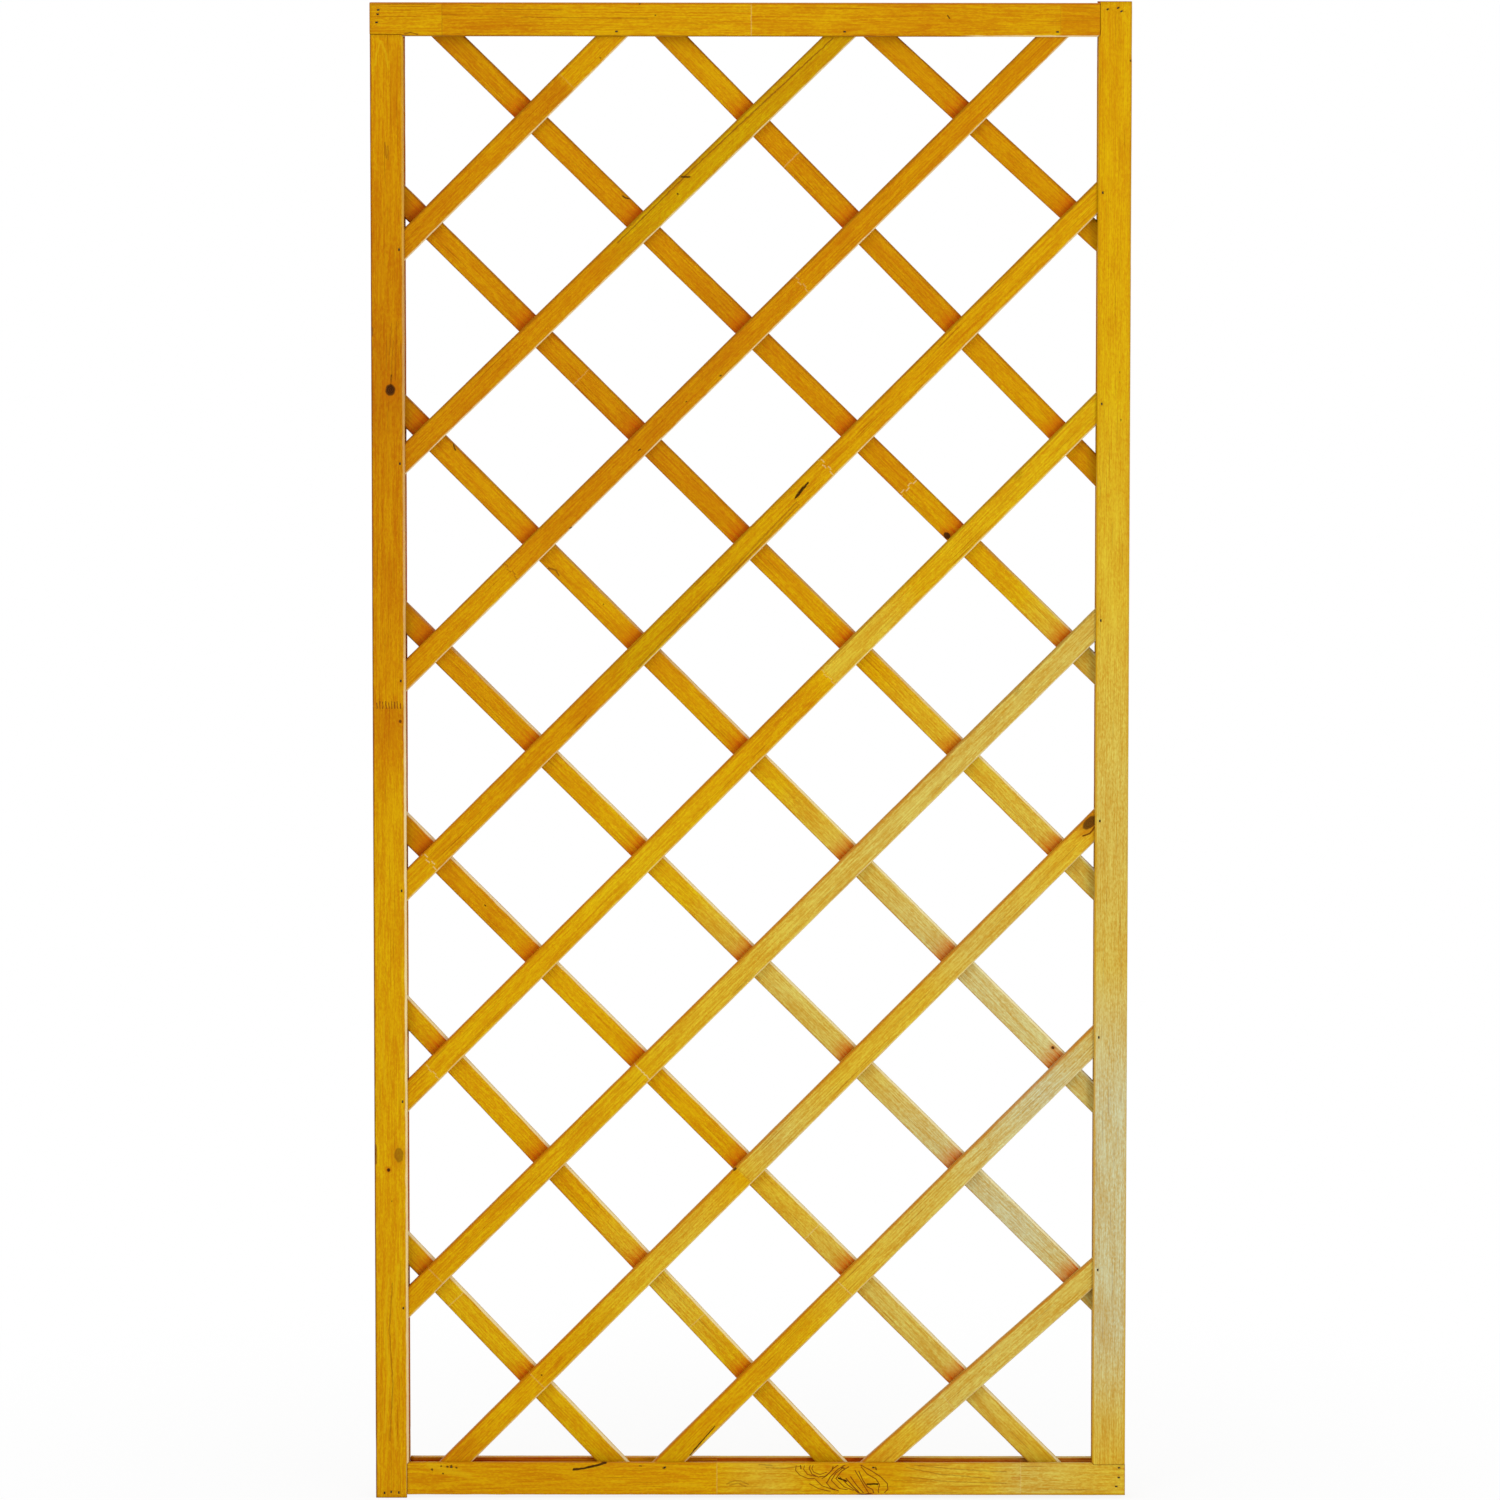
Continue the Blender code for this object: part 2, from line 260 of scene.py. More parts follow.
def makeStroke():
    # how near a place is to a straight stroke, in shares of the stroke's width
    tree, given, taken = newGroup("stroke", ("Place", "Start", "End", "Width"), ("Nearness",))
    way = vector(tree, "SUBTRACT", given["End"], given["Start"])
    off = vector(tree, "SUBTRACT", given["Place"], given["Start"])
    ahead = addNode(tree, "VectorMath", (off, way), operation="DOT_PRODUCT").outputs["Value"]
    span = addNode(tree, "VectorMath", (way, way), operation="DOT_PRODUCT").outputs["Value"]
    share = calc(tree, "DIVIDE", ahead, calc(tree, "MAXIMUM", span, 0.0001), clamp=True)
    nearest = vector(tree, "SCALE", way, None, None, share)
    gap = vector(tree, "SUBTRACT", off, nearest)
    gap = addNode(tree, "VectorMath", (gap,), operation="LENGTH").outputs["Value"]
    nearness = calc(tree, "SUBTRACT", 1.0, calc(tree, "DIVIDE", gap, given["Width"]))
    tree.links.new(nearness, taken["Nearness"])
    return tree


# what darkens the wood's colour at each of these places; in the groove it is painted shade as well as soaked
# stain
shades = dict(
    hair=(0.42, 0.22, 0.2, 1.0), arris=(0.45, 0.24, 0.2, 1.0), soakedAndShaded=(0.74, 0.23, 0.06, 1.0),
    endGrain=(0.62, 0.40, 0.3, 1.0),
)
# where the frame's groove lies: from front to back, and how far inward from the centre line
grooveSpan = dict(front=-17.58, back=8.46, inner=4.9)
polish = dict(
    specular=0.14, glint=(1.0, 0.72, 0.2, 1.0), smoothest=0.42, roughest=0.62, bump=0.55, bumpDepth=0.0005
)


def makePine(name, look, length, half, halfDeep):
    # half and halfDeep: half the width of the face and half the thickness, in millimetres
    wood = bpy.data.materials.new(name)
    wood.use_nodes = True
    tree = wood.node_tree
    shader = tree.nodes["Principled BSDF"]
    place = vector(tree, "SCALE", addNode(tree, "TexCoord").outputs["Object"], None, None, 1000.0)
    along, deep, across = addNode(tree, "SeparateXYZ", (place,)).outputs
    seed = look["seed"]
    front = ease(tree, deep, 1.0, -1.0)

    # finger joints: each one starts another length of wood, its edge ragged or toothed
    ragged = clouds(tree, place, (900, 900, 2.0), seed + 31.0, 1.0).outputs[0]
    ragged = calc(tree, "MULTIPLY", calc(tree, "SUBTRACT", ragged, 0.5), look["ragged"])
    finger = calc(tree, "SIGN", calc(tree, "SINE", calc(tree, "MULTIPLY", across, 0.52)))
    stepped = calc(tree, "MULTIPLY", finger, look["stepped"])
    joined = calc(tree, "ADD", along, calc(tree, "ADD", ragged, stepped))
    section, glueLines = 0.0, []
    for joint, glue in look["joints"]:
        section = calc(tree, "ADD", section, calc(tree, "GREATER_THAN", joined, float(joint)))
        near = calc(tree, "ABSOLUTE", calc(tree, "SUBTRACT", joined, float(joint)))
        glueLines.append((ease(tree, near, 1.1, 0.2, 0.0, abs(glue)), "cream" if glue > 0 else "brown"))
    swap = calc(tree, "MULTIPLY", section, 19.7)

    # knots: rings run round them, and they are dark in the middle
    flat = vector(tree, "MULTIPLY", place, (1.0, 0.0, 1.0))
    wobble = clouds(tree, place, (5, 50, 3.0), seed + 41.0, 2.0).outputs["Color"]
    wobble = vector(tree, "SCALE", vector(tree, "SUBTRACT", wobble, (0.5, 0.5, 0.5)), None, None, 2.2)
    flat = vector(tree, "ADD", flat, vector(tree, "MULTIPLY", wobble, (1.0, 0.0, 1.0)))
    bulge, knots = 0.0, []
    for knotAlong, knotAcross, size, stretch, depth in look["knots"]:
        off = vector(tree, "SUBTRACT", flat, (float(knotAlong), 0.0, float(knotAcross)))
        off = vector(tree, "MULTIPLY", off, (1.0 / size / stretch, 0.0, 1.0 / size))
        gap = addNode(tree, "VectorMath", (off,), operation="LENGTH").outputs["Value"]
        bulge = calc(tree, "ADD", bulge, ease(tree, gap, 5.0, 0.4, 0.0, size * 1.6))
        knots.append((gap, depth))

    grain = useGroup(
        tree, pineGrain, place, calc(tree, "ADD", swap, seed),
        calc(tree, "ADD", calc(tree, "MULTIPLY", calc(tree, "SINE", swap), 7.0), look["pith"][0]),
        look["pith"][1], look["lean"][0], look["lean"][1], look["ring"], look["sway"], bulge,
    )
    ring, ringTone, streak, fibre, fleck, blotch, hair = grain

    face = toneAlong(tree, along, look["tones"], length)
    dark = tint(tree, 1.0, face, (*look["darkGrain"], 1.0), "MULTIPLY")
    light = tint(tree, 1.0, face, (*look["lightGrain"], 1.0), "MULTIPLY")
    ringShare = calc(tree, "MULTIPLY", calc(tree, "MULTIPLY", ring, calc(tree, "ADD", ringTone, 0.35)),
                     look["ringDepth"])
    colour = tint(tree, ringShare, face, dark)
    patterns = (
        (streak, 0.15, look["streakDepth"]), (fibre, 0.12, look["fibreDepth"]),
        (fleck, 0.16, look["fleckDepth"]), (blotch, 0.22, look["blotchDepth"]),
    )
    for pattern, spread, depth in patterns:
        colour = tint(tree, ease(tree, pattern, 0.51, 0.51 - spread, 0.0, depth), colour, dark)
        colour = tint(tree, ease(tree, pattern, 0.52, 0.52 + spread, 0.0, depth), colour, light)
    hairline = ease(tree, hair, 0.66, 0.74, 0.0, look["hairDepth"])
    colour = tint(tree, hairline, colour, shades["hair"], "MULTIPLY")
    for line, name in glueLines:
        colour = tint(tree, line, colour, stain(name))

    # the painted shadow of each front slat on a rear slat beside it, with stain gathered there too
    if look["crossing"]:
        beside = addNode(tree, "Attribute", attribute_name="crossing").outputs["Fac"]
        beside = calc(tree, "POWER", beside, 1.5)
        beside = calc(tree, "MULTIPLY", beside, ease(tree, streak, 0.3, 0.6, 1.3, 0.75))
        strength = calc(tree, "MULTIPLY", front, look["crossing"])
        beside = calc(tree, "MULTIPLY", beside, strength, clamp=True)
        emberShade = tint(tree, 0.75, stain("emberShade"), colour, "MULTIPLY")
        emberShade = tint(tree, 0.55, emberShade, stain("emberShade"))
        colour = tint(tree, beside, colour, emberShade)

    # bands along the two long edges: pale bands are painted highlights and dark bands painted shade, by how
    # each edge faces the lamp; and a thin dark line along each long arris
    waver = clouds(tree, place, (24, 200, 200), seed + 53.0, 3.0).outputs[0]
    waver = calc(tree, "MULTIPLY", calc(tree, "SUBTRACT", waver, 0.5), 2.4)
    arris = ease(tree, calc(tree, "SUBTRACT", halfDeep, calc(tree, "ABSOLUTE", deep)), 0.9, 0.25)
    for side, band in ((1.0, look["highBand"]), (-1.0, look["lowBand"])):
        width, tones = band
        inward = calc(tree, "SUBTRACT", half, calc(tree, "MULTIPLY", across, side))
        run = toneAlong(tree, along, tones, length)
        share = ease(tree, calc(tree, "ADD", inward, waver), width + 0.7, width - 0.7)
        share = calc(tree, "MULTIPLY", share, run.node.outputs["Alpha"])
        colour = tint(tree, calc(tree, "MULTIPLY", share, front), colour, run)
        line = ease(tree, calc(tree, "ADD", inward, calc(tree, "MULTIPLY", waver, 0.3)), 0.9, 0.25)
        line = calc(tree, "MULTIPLY", calc(tree, "MULTIPLY", line, arris), look["edgeLine"])
        colour = tint(tree, line, colour, shades["arris"], "MULTIPLY")

    # strokes: cracks, marks and streaks, on the front only
    height = calc(tree, "MULTIPLY", calc(tree, "ADD", fibre, fleck), 0.3)
    height = calc(tree, "ADD", height, calc(tree, "MULTIPLY", ringShare, 0.35))
    for kind, *run, width in look["strokes"]:
        stainName, share, fade = strokeKinds[kind]
        nearness = None
        for number in range(0, len(run) - 2, 2):
            a, b = (run[number], 0.0, run[number + 1]), (run[number + 2], 0.0, run[number + 3])
            found = useGroup(tree, strokeGroup, flat, a, b, 1.4 * width)[0]
            nearness = found if nearness is None else calc(tree, "MAXIMUM", nearness, found)
        shown = ease(tree, nearness, 0.0, fade, 0.0, share)
        shown = calc(tree, "MULTIPLY", shown, front)
        colour = tint(tree, shown, colour, stain(stainName))
        if kind in ("crack", "mark"):
            height = calc(tree, "SUBTRACT", height, calc(tree, "MULTIPLY", shown, 1.5))
    if look["veins"]:
        vein = addNode(tree, "Attribute", attribute_name="vein").outputs["Fac"]
        stainName, share, fade = strokeKinds["vein"]
        shown = calc(tree, "MULTIPLY", ease(tree, vein, 0.0, fade, 0.0, share), front)
        colour = tint(tree, shown, colour, stain(stainName))
    for gap, depth in knots:
        halo = ease(tree, gap, 3.2, 0.9, 0.0, 0.75 * depth)
        colour = tint(tree, halo, colour, stain("russet"))
        core = ease(tree, gap, 1.15, 0.85, 0.0, depth)
        rings = calc(tree, "SINE", calc(tree, "MULTIPLY", gap, 17.0))
        paler = ease(tree, rings, 0.2, 1.0, 0.0, 0.5)
        heart = tint(tree, paler, stain("bark"), stain("brown"))
        colour = tint(tree, core, colour, heart)
        rim = calc(tree, "MULTIPLY", ease(tree, gap, 0.8, 1.0), ease(tree, gap, 1.3, 1.05))
        colour = tint(tree, calc(tree, "MULTIPLY", rim, 0.7 * depth), colour, stain("bark"))
        height = calc(tree, "SUBTRACT", height, calc(tree, "MULTIPLY", core, 0.6))

    # the groove on a frame member's inner side is darkened: painted shade in the recess, with soaked stain
    if look["groove"]:
        within = calc(tree, "MULTIPLY", calc(tree, "GREATER_THAN", deep, grooveSpan["front"]),
                      calc(tree, "LESS_THAN", deep, grooveSpan["back"]))
        inner = calc(tree, "GREATER_THAN", calc(tree, "MULTIPLY", across, look["groove"]),
                     grooveSpan["inner"])
        within = calc(tree, "MULTIPLY", within, inner)
        soakedAndShaded = calc(tree, "MULTIPLY", within, ease(tree, streak, 0.4, 0.62, 1.0, 0.45))
        colour = tint(tree, soakedAndShaded, colour, shades["soakedAndShaded"], "MULTIPLY")

    # end grain drinks more stain
    ends = calc(tree, "MAXIMUM", ease(tree, along, 0.9, 0.2), ease(tree, along, length - 0.9, length - 0.2))
    colour = tint(tree, calc(tree, "MULTIPLY", ends, 0.75), colour, shades["endGrain"], "MULTIPLY")
    put(tree, shader.inputs["Base Color"], colour)

    bump = addNode(tree, "Bump")
    put(tree, bump.inputs["Strength"], polish["bump"])
    put(tree, bump.inputs["Distance"], polish["bumpDepth"])
    put(tree, bump.inputs["Height"], height)
    put(tree, shader.inputs["Normal"], bump.outputs[0])
    roughness = ease(tree, fibre, 0.2, 0.8, polish["smoothest"], polish["roughest"])
    put(tree, shader.inputs["Roughness"], roughness)
    shader.inputs["Specular IOR Level"].default_value = polish["specular"]
    shader.inputs["Specular Tint"].default_value = polish["glint"]
    return wood


# the looks of the pieces

# what all the pine shares, unless a piece says otherwise
# pith: how far across and deep the growth rings' centre lies; lean: how fast it drifts along the piece
# joints: place and how pale (above zero) or dark the glue is; ragged, stepped: how uneven they are
# knots: along, across, size, stretch, depth; chips: along, side, reach, depth
# strokes: kind, places along and across, width; bands (painted highlights and shade on the long edges):
# width, then place, stain, share
# groove: which side the groove is on, 1 for the high side and -1 for the low one
pine = dict(
    seed=1.0, pith=(5.0, 38.0), lean=(0.004, 0.01), ring=2.8, sway=9.0, ringDepth=0.42,
    streakDepth=0.34, fibreDepth=0.48, fleckDepth=0.48, blotchDepth=0.34, hairDepth=0.55,
    darkGrain=(0.82, 0.53, 0.16), lightGrain=(1.10, 1.32, 1.7), tones=((0, "honey"),),
    joints=(), ragged=3.0, stepped=0.0, knots=(), strokes=(), veins=(), chips=(),
    fineCut=1.2, veinCut=0.55, crossing=0.0, edgeLine=0.55, groove=0.0,
    highBand=(1.5, ((0, "brown", 0.0),)), lowBand=(1.5, ((0, "brown", 0.0),)),
)
# wild grain in the bottom rail: each line's places along and across, then its width
figuredVeins = (
    (582.2, 18.4, 596, 11.2, 608.9, 2.8, 617.1, -5.7, 617.6, -12.3, 611.1, -19.5, 0.45),
    (585.3, 15, 592.7, 6.1, 603.1, 0.1, 607.6, -6.6, 605.8, -14.6, 607.6, -19.5, 0.45),
    (582.6, 9.5, 587.5, -1.7, 592.7, -9.5, 599.3, -12.8, 600.5, -17.2, 0.5),
    (577.8, 10.6, 583.8, 0.6, 590.4, -10.6, 596, -19.5, 0.45),
    (572.6, 2.8, 580.4, -8.3, 590.4, -19.5, 0.5),
    (567.1, 0.6, 576, -9.5, 586, -19.5, 0.6),
    (559.3, 2.8, 569.3, -7.2, 578.2, -13.9, 583.8, -18.4, 0.45),
    (554.8, 0.6, 564.9, -9.5, 576, -13.9, 0.4),
    (549.3, -1.7, 559.3, -11.7, 569.3, -13.2, 0.4),
    (543, -3.9, 548.2, -10.6, 558.2, -14.6, 0.4),
    (530.4, -0.6, 538.1, -8.3, 553.7, -13.7, 0.4),
    (523, -5.7, 533.7, -11.7, 548.2, -15, 0.35),
    (567.1, 17.9, 557.1, 11.7, 548.2, 2.8, 543.7, -5, 0.55),
    (563.7, 13.9, 554.8, 7.2, 549.3, -1.7, 0.5),
    (570.4, 15, 561.5, 9.5, 554.8, 0.6, 0.5),
    (559.3, 18.4, 551.5, 12.8, 543.7, 3.9, 538.1, 0.6, 0.5),
    (549.3, 9.5, 542.6, 3.9, 533.7, 2.3, 525.9, 6.1, 522.6, 12.8, 524.4, 18.4, 0.45),
    (543.7, 8.3, 535.9, 5.5, 528.1, 8.3, 525.9, 12.8, 527.5, 17.2, 0.35),
    (507, 16.6, 506.1, 10.6, 511.4, 4.6, 521.5, 0.6, 529.7, 0.6, 0.35),
    (517, 16.6, 515.9, 11.7, 520.8, 5.5, 530.4, 3.2, 0.35),
)
# the finger joint in the left stile: how far across each dark tooth is, and where it ends
combTeeth = (
    (14.5, 964), (11.0, 966), (7.4, 965), (3.6, 966), (0.2, 964),
    (-3.4, 966), (-6.6, 965), (-10, 966), (-13.6, 963),
)
# each piece's tones; toward the panel's lower right the washed-out straw, wheat, pale and flax are painted
# glare, and the bands on the frame's edges are painted highlights and shade
looks = {
    "top_rail": dict(
        pine, seed=2.0, pith=(3.0, 30.0), lean=(0.0, -0.035), ring=3.2, ringDepth=0.62, groove=-1.0,
        joints=((86, -0.25), (452.5, 0.12), (819, -0.15)), ragged=1.2,
        tones=((0, "honey"), (86, "honey"), (88, "amber"), (230, "honey"), (452, "gold"), (454, "honey"),
               (560, "honey"), (640, "amber"), (819, "honey"), (822, "amber"), (904, "amber")),
        highBand=(2.2, ((0, "russet", 0.7), (900, "russet", 0.7))),
        lowBand=(1.6, ((0, "brown", 0.5), (700, "brown", 0.5), (720, "cream", 0.7), (860, "cream", 0.8))),
        strokes=(
            ("line", 4, 17.0, 40, 18.2, 78, 17.4, 0.6), ("line", 120, 16, 134, 15.4, 0.6),
            ("line", 150, 12.5, 230, 11.6, 0.5), ("line", 180, 3.0, 330, 1.0, 0.5),
            ("brown", 42, -17, 49, -15.5, 57, -17.5, 0.9), ("pale", 379, 9.8, 451, 10.5, 0.7),
            ("pale", 395, 6.2, 448, 6.8, 0.6), ("mark", 685, 5.5, 687, 2.0, 0.8),
            ("mark", 338.6, 5, 339.2, 5, 0.9), ("mark", 320, 18.4, 321, 18.8, 0.7),
        ),
    ),
    "bottom_rail": dict(
        pine, seed=3.0, pith=(0.0, 31.0), lean=(0.0, 0.03), ring=3.6, ringDepth=0.55, groove=1.0,
        joints=((411.3, 0.08), (777.8, 0.12)), ragged=1.2,
        tones=((0, "honey"), (240, "honey"), (408, "gold"), (414, "butter"), (475, "straw"),
               (520, "butter"), (580, "gold"),
               (630, "butter"), (680, "straw"), (740, "straw"), (778, "wheat"), (904, "straw")),
        highBand=(1.6, ((0, "russet", 0.4), (900, "russet", 0.3))),
        lowBand=(3.2, ((0, "amber", 0.5), (600, "amber", 0.3), (900, "olive", 0.9))),
        knots=((553, 6.0, 8.0, 1.4, 0.0),), veins=figuredVeins,
        strokes=(
            ("warm", 545, 12.0, 566, 4.0, 588, -9.0, 598, -17.0, 6.0), ("warm", 520, 6, 556, -8, 5.0),
            ("crack", 592.7, -6.6, 598.7, -6.1, 605.3, -6.3, 0.9),
            ("crack", 557.7, 1.0, 562.2, -0.8, 567.5, -2.6, 0.8), ("mark", 602.7, 14.6, 603.8, 11.7, 0.8),
            ("mark", 512.3, 16.6, 512.8, 12.8, 0.7), ("mark", 561.3, 13.9, 564.9, 12.8, 0.8),
            ("mark", 551.5, 15.0, 549.7, 10.3, 0.6), ("line", 471, 14.0, 490, 13.0, 512, 15.5, 0.8),
            ("line", 640, 14.0, 680, 6.0, 740, 1.0, 0.8), ("line", 650, 17.0, 700, 12.0, 760, 9.0, 0.7),
            ("line", 645, 2.0, 690, -3.0, 760, -5.0, 0.6),
            ("pale", 64, 17, 88, 9.0, 112, 4.0, 5.0),
            ("mark", 67.3, 11.1, 67.8, 10.6, 1.2), ("mark", 77.9, 15.1, 78.4, 15.4, 1.1),
            ("mark", 80.6, 6.3, 80.9, 6.0, 1.1), ("mark", 85.7, 14.7, 86.4, 14.4, 1.2),
            ("mark", 90.5, 15.9, 91.0, 16.2, 1.1), ("mark", 96.5, 13.5, 97.2, 13.2, 1.1),
            ("crack", 238, 11.2, 249, 12.2, 259, 14.6, 268, 17.0, 277, 19.5, 1.25),
            ("pale", 284, -3.3, 300, -4.0, 1.5), ("pale", 349, -6.9, 391, -7.4, 2.0),
            ("line", 423, -6.0, 432, -2.5, 440, -2.5, 449, -6.5, 1.0),
            ("line", 427, -8.0, 436, -5.0, 446, -9.0, 1.0), ("line", 462, 17.4, 478, 16.6, 1.0),
            ("warm", 768, 1.5, 776, 1.2, 2.4), ("mark", 317.5, 15.9, 320.5, 15.7, 0.6),
            ("mark", 346, 12.9, 348, 12.7, 0.6),
        ),
    ),
    "left_stile": dict(
        pine, seed=4.0, pith=(2.0, 33.0), lean=(0.004, 0.02), ring=3.4, groove=-1.0, ringDepth=0.5,
        joints=((958, -0.12),), ragged=2.0,
        tones=((0, "honey"), (120, "honey"), (330, "gold"), (640, "gold"), (860, "honey"), (895, "amber"),
               (955, "rust"), (959, "amber"), (1240, "rust"), (1335, "umber"), (1440, "rust"),
               (1640, "amber"),
               (1797, "honey")),
        highBand=(1.6, ((0, "brown", 0.8), (1797, "brown", 0.7))),
        lowBand=(2.6, ((0, "cream", 0.55), (900, "cream", 0.75), (1050, "cream", 0.3),
                       (1797, "butter", 0.35))),
        knots=((1338.4, -2.9, 5.0, 1.2, 1.0), (941.8, -13.1, 1.5, 1.2, 0.8),
               (417.9, -9.5, 4.6, 1.7, 0.45), (399.9, 3.0, 1.7, 1.1, 1.0)),
        chips=((419, 1, 13, 1.5), (1408, 1, 7, 1.1), (700, 1, 9, 0.7), (1120, 1, 12, 0.6)),
        strokes=(
            ("crack", 1343, -3.4, 1356, -4.4, 0.6), ("line", 1352, -4.0, 1372, -4.6, 1397, -7.1, 0.45),
            ("line", 1380, -2.0, 1418, -5.0, 0.4), ("line", 1331, -1.6, 1310, 0.4, 1289, 0.1, 0.4),
            ("line", 1350, -9.0, 1420, -10.5, 0.45), ("line", 1362, 2.0, 1402, 1.0, 0.4),
            ("mark", 361.5, -0.5, 362.2, -0.5, 0.8), ("brown", 430, 18.6, 408, 18.2, 1.6),
            ("brown", 1413, 18.6, 1403, 18.6, 1.3), ("pale", 586, 7.3, 545, 9.0, 502, 7.0, 1.8),
            ("pale", 1752, 6.0, 1738, 1.0, 1722, -1.5, 1.4),
            ("pale", 1752, 7.0, 1738, 11.5, 1724, 13.5, 1.4),
            ("line", 1632, 2.0, 1614, 0.8, 1.2), ("line", 1628, -1.2, 1612, -1.4, 0.9),
            *(("vein", 957.5, across, rise, across + 0.3, 0.5) for across, rise in combTeeth),
            ("pale", 285, -9, 240, -3, 190, -6, 130, 0, 60, -4, 1.9),
            ("pale", 270, 3, 215, 8, 150, 4, 80, 9, 1.8), ("line", 262, -1, 205, 3, 140, -1, 70, 3, 0.9),
        ),
    ),
    "right_stile": dict(
        pine, seed=5.0, pith=(55.0, 12.0), lean=(0.003, 0.0), ring=2.6, groove=1.0, ringDepth=0.40,
        streakDepth=0.26, fibreDepth=0.38,
        tones=((0, "butter"), (90, "wheat"), (200, "flax"), (480, "flax"), (640, "wheat"), (860, "wheat"),
               (1080, "straw"), (1330, "butter"), (1500, "gold"), (1797, "gold")),
        highBand=(2.2, ((0, "honey", 0.8), (1797, "honey", 0.6))),
        lowBand=(2.4, ((0, "olive", 0.8), (250, "olive", 0.6), (500, "olive", 0.2), (1797, "brown", 0.2))),
        strokes=(("mark", 1726, -18.3, 1727, -18.3, 0.9), ("mark", 1356, -7.1, 1357.5, -7.1, 0.6),
                 ("mark", 1298.5, -8.9, 1300.5, -8.9, 0.6)),
    ),
}

# how strongly the painted shadow, with its stain, shows on a rear slat beside each front slat
crossingShadeAndStain = 0.95
# painted highlights and shade on the slats' edges, as bands, by the height of the place on the panel, in
# millimetres: cream where an edge would catch the lamp, russet and brown where it would lie in shade
frontSlatEdgeShading = dict(
    high=(2.6, ((0, "russet", 0.75), (800, "russet", 0.65), (1150, "brown", 0.35), (1800, "brown", 0.45))),
    low=(1.5, ((0, "cream", 0.45), (800, "cream", 0.45), (1100, "cream", 0.7), (1800, "cream", 0.7))),
)
rearSlatEdgeShading = dict(
    high=(2.2, ((0, "cream", 0.75), (900, "cream", 0.70), (1180, "brown", 0.35), (1800, "brown", 0.5))),
    low=(1.2, ((0, "russet", 0.4), (1800, "brown", 0.4))),
)


def slat(seed, tones, **more):
    return dict(pine, seed=seed, tones=tones, **more)


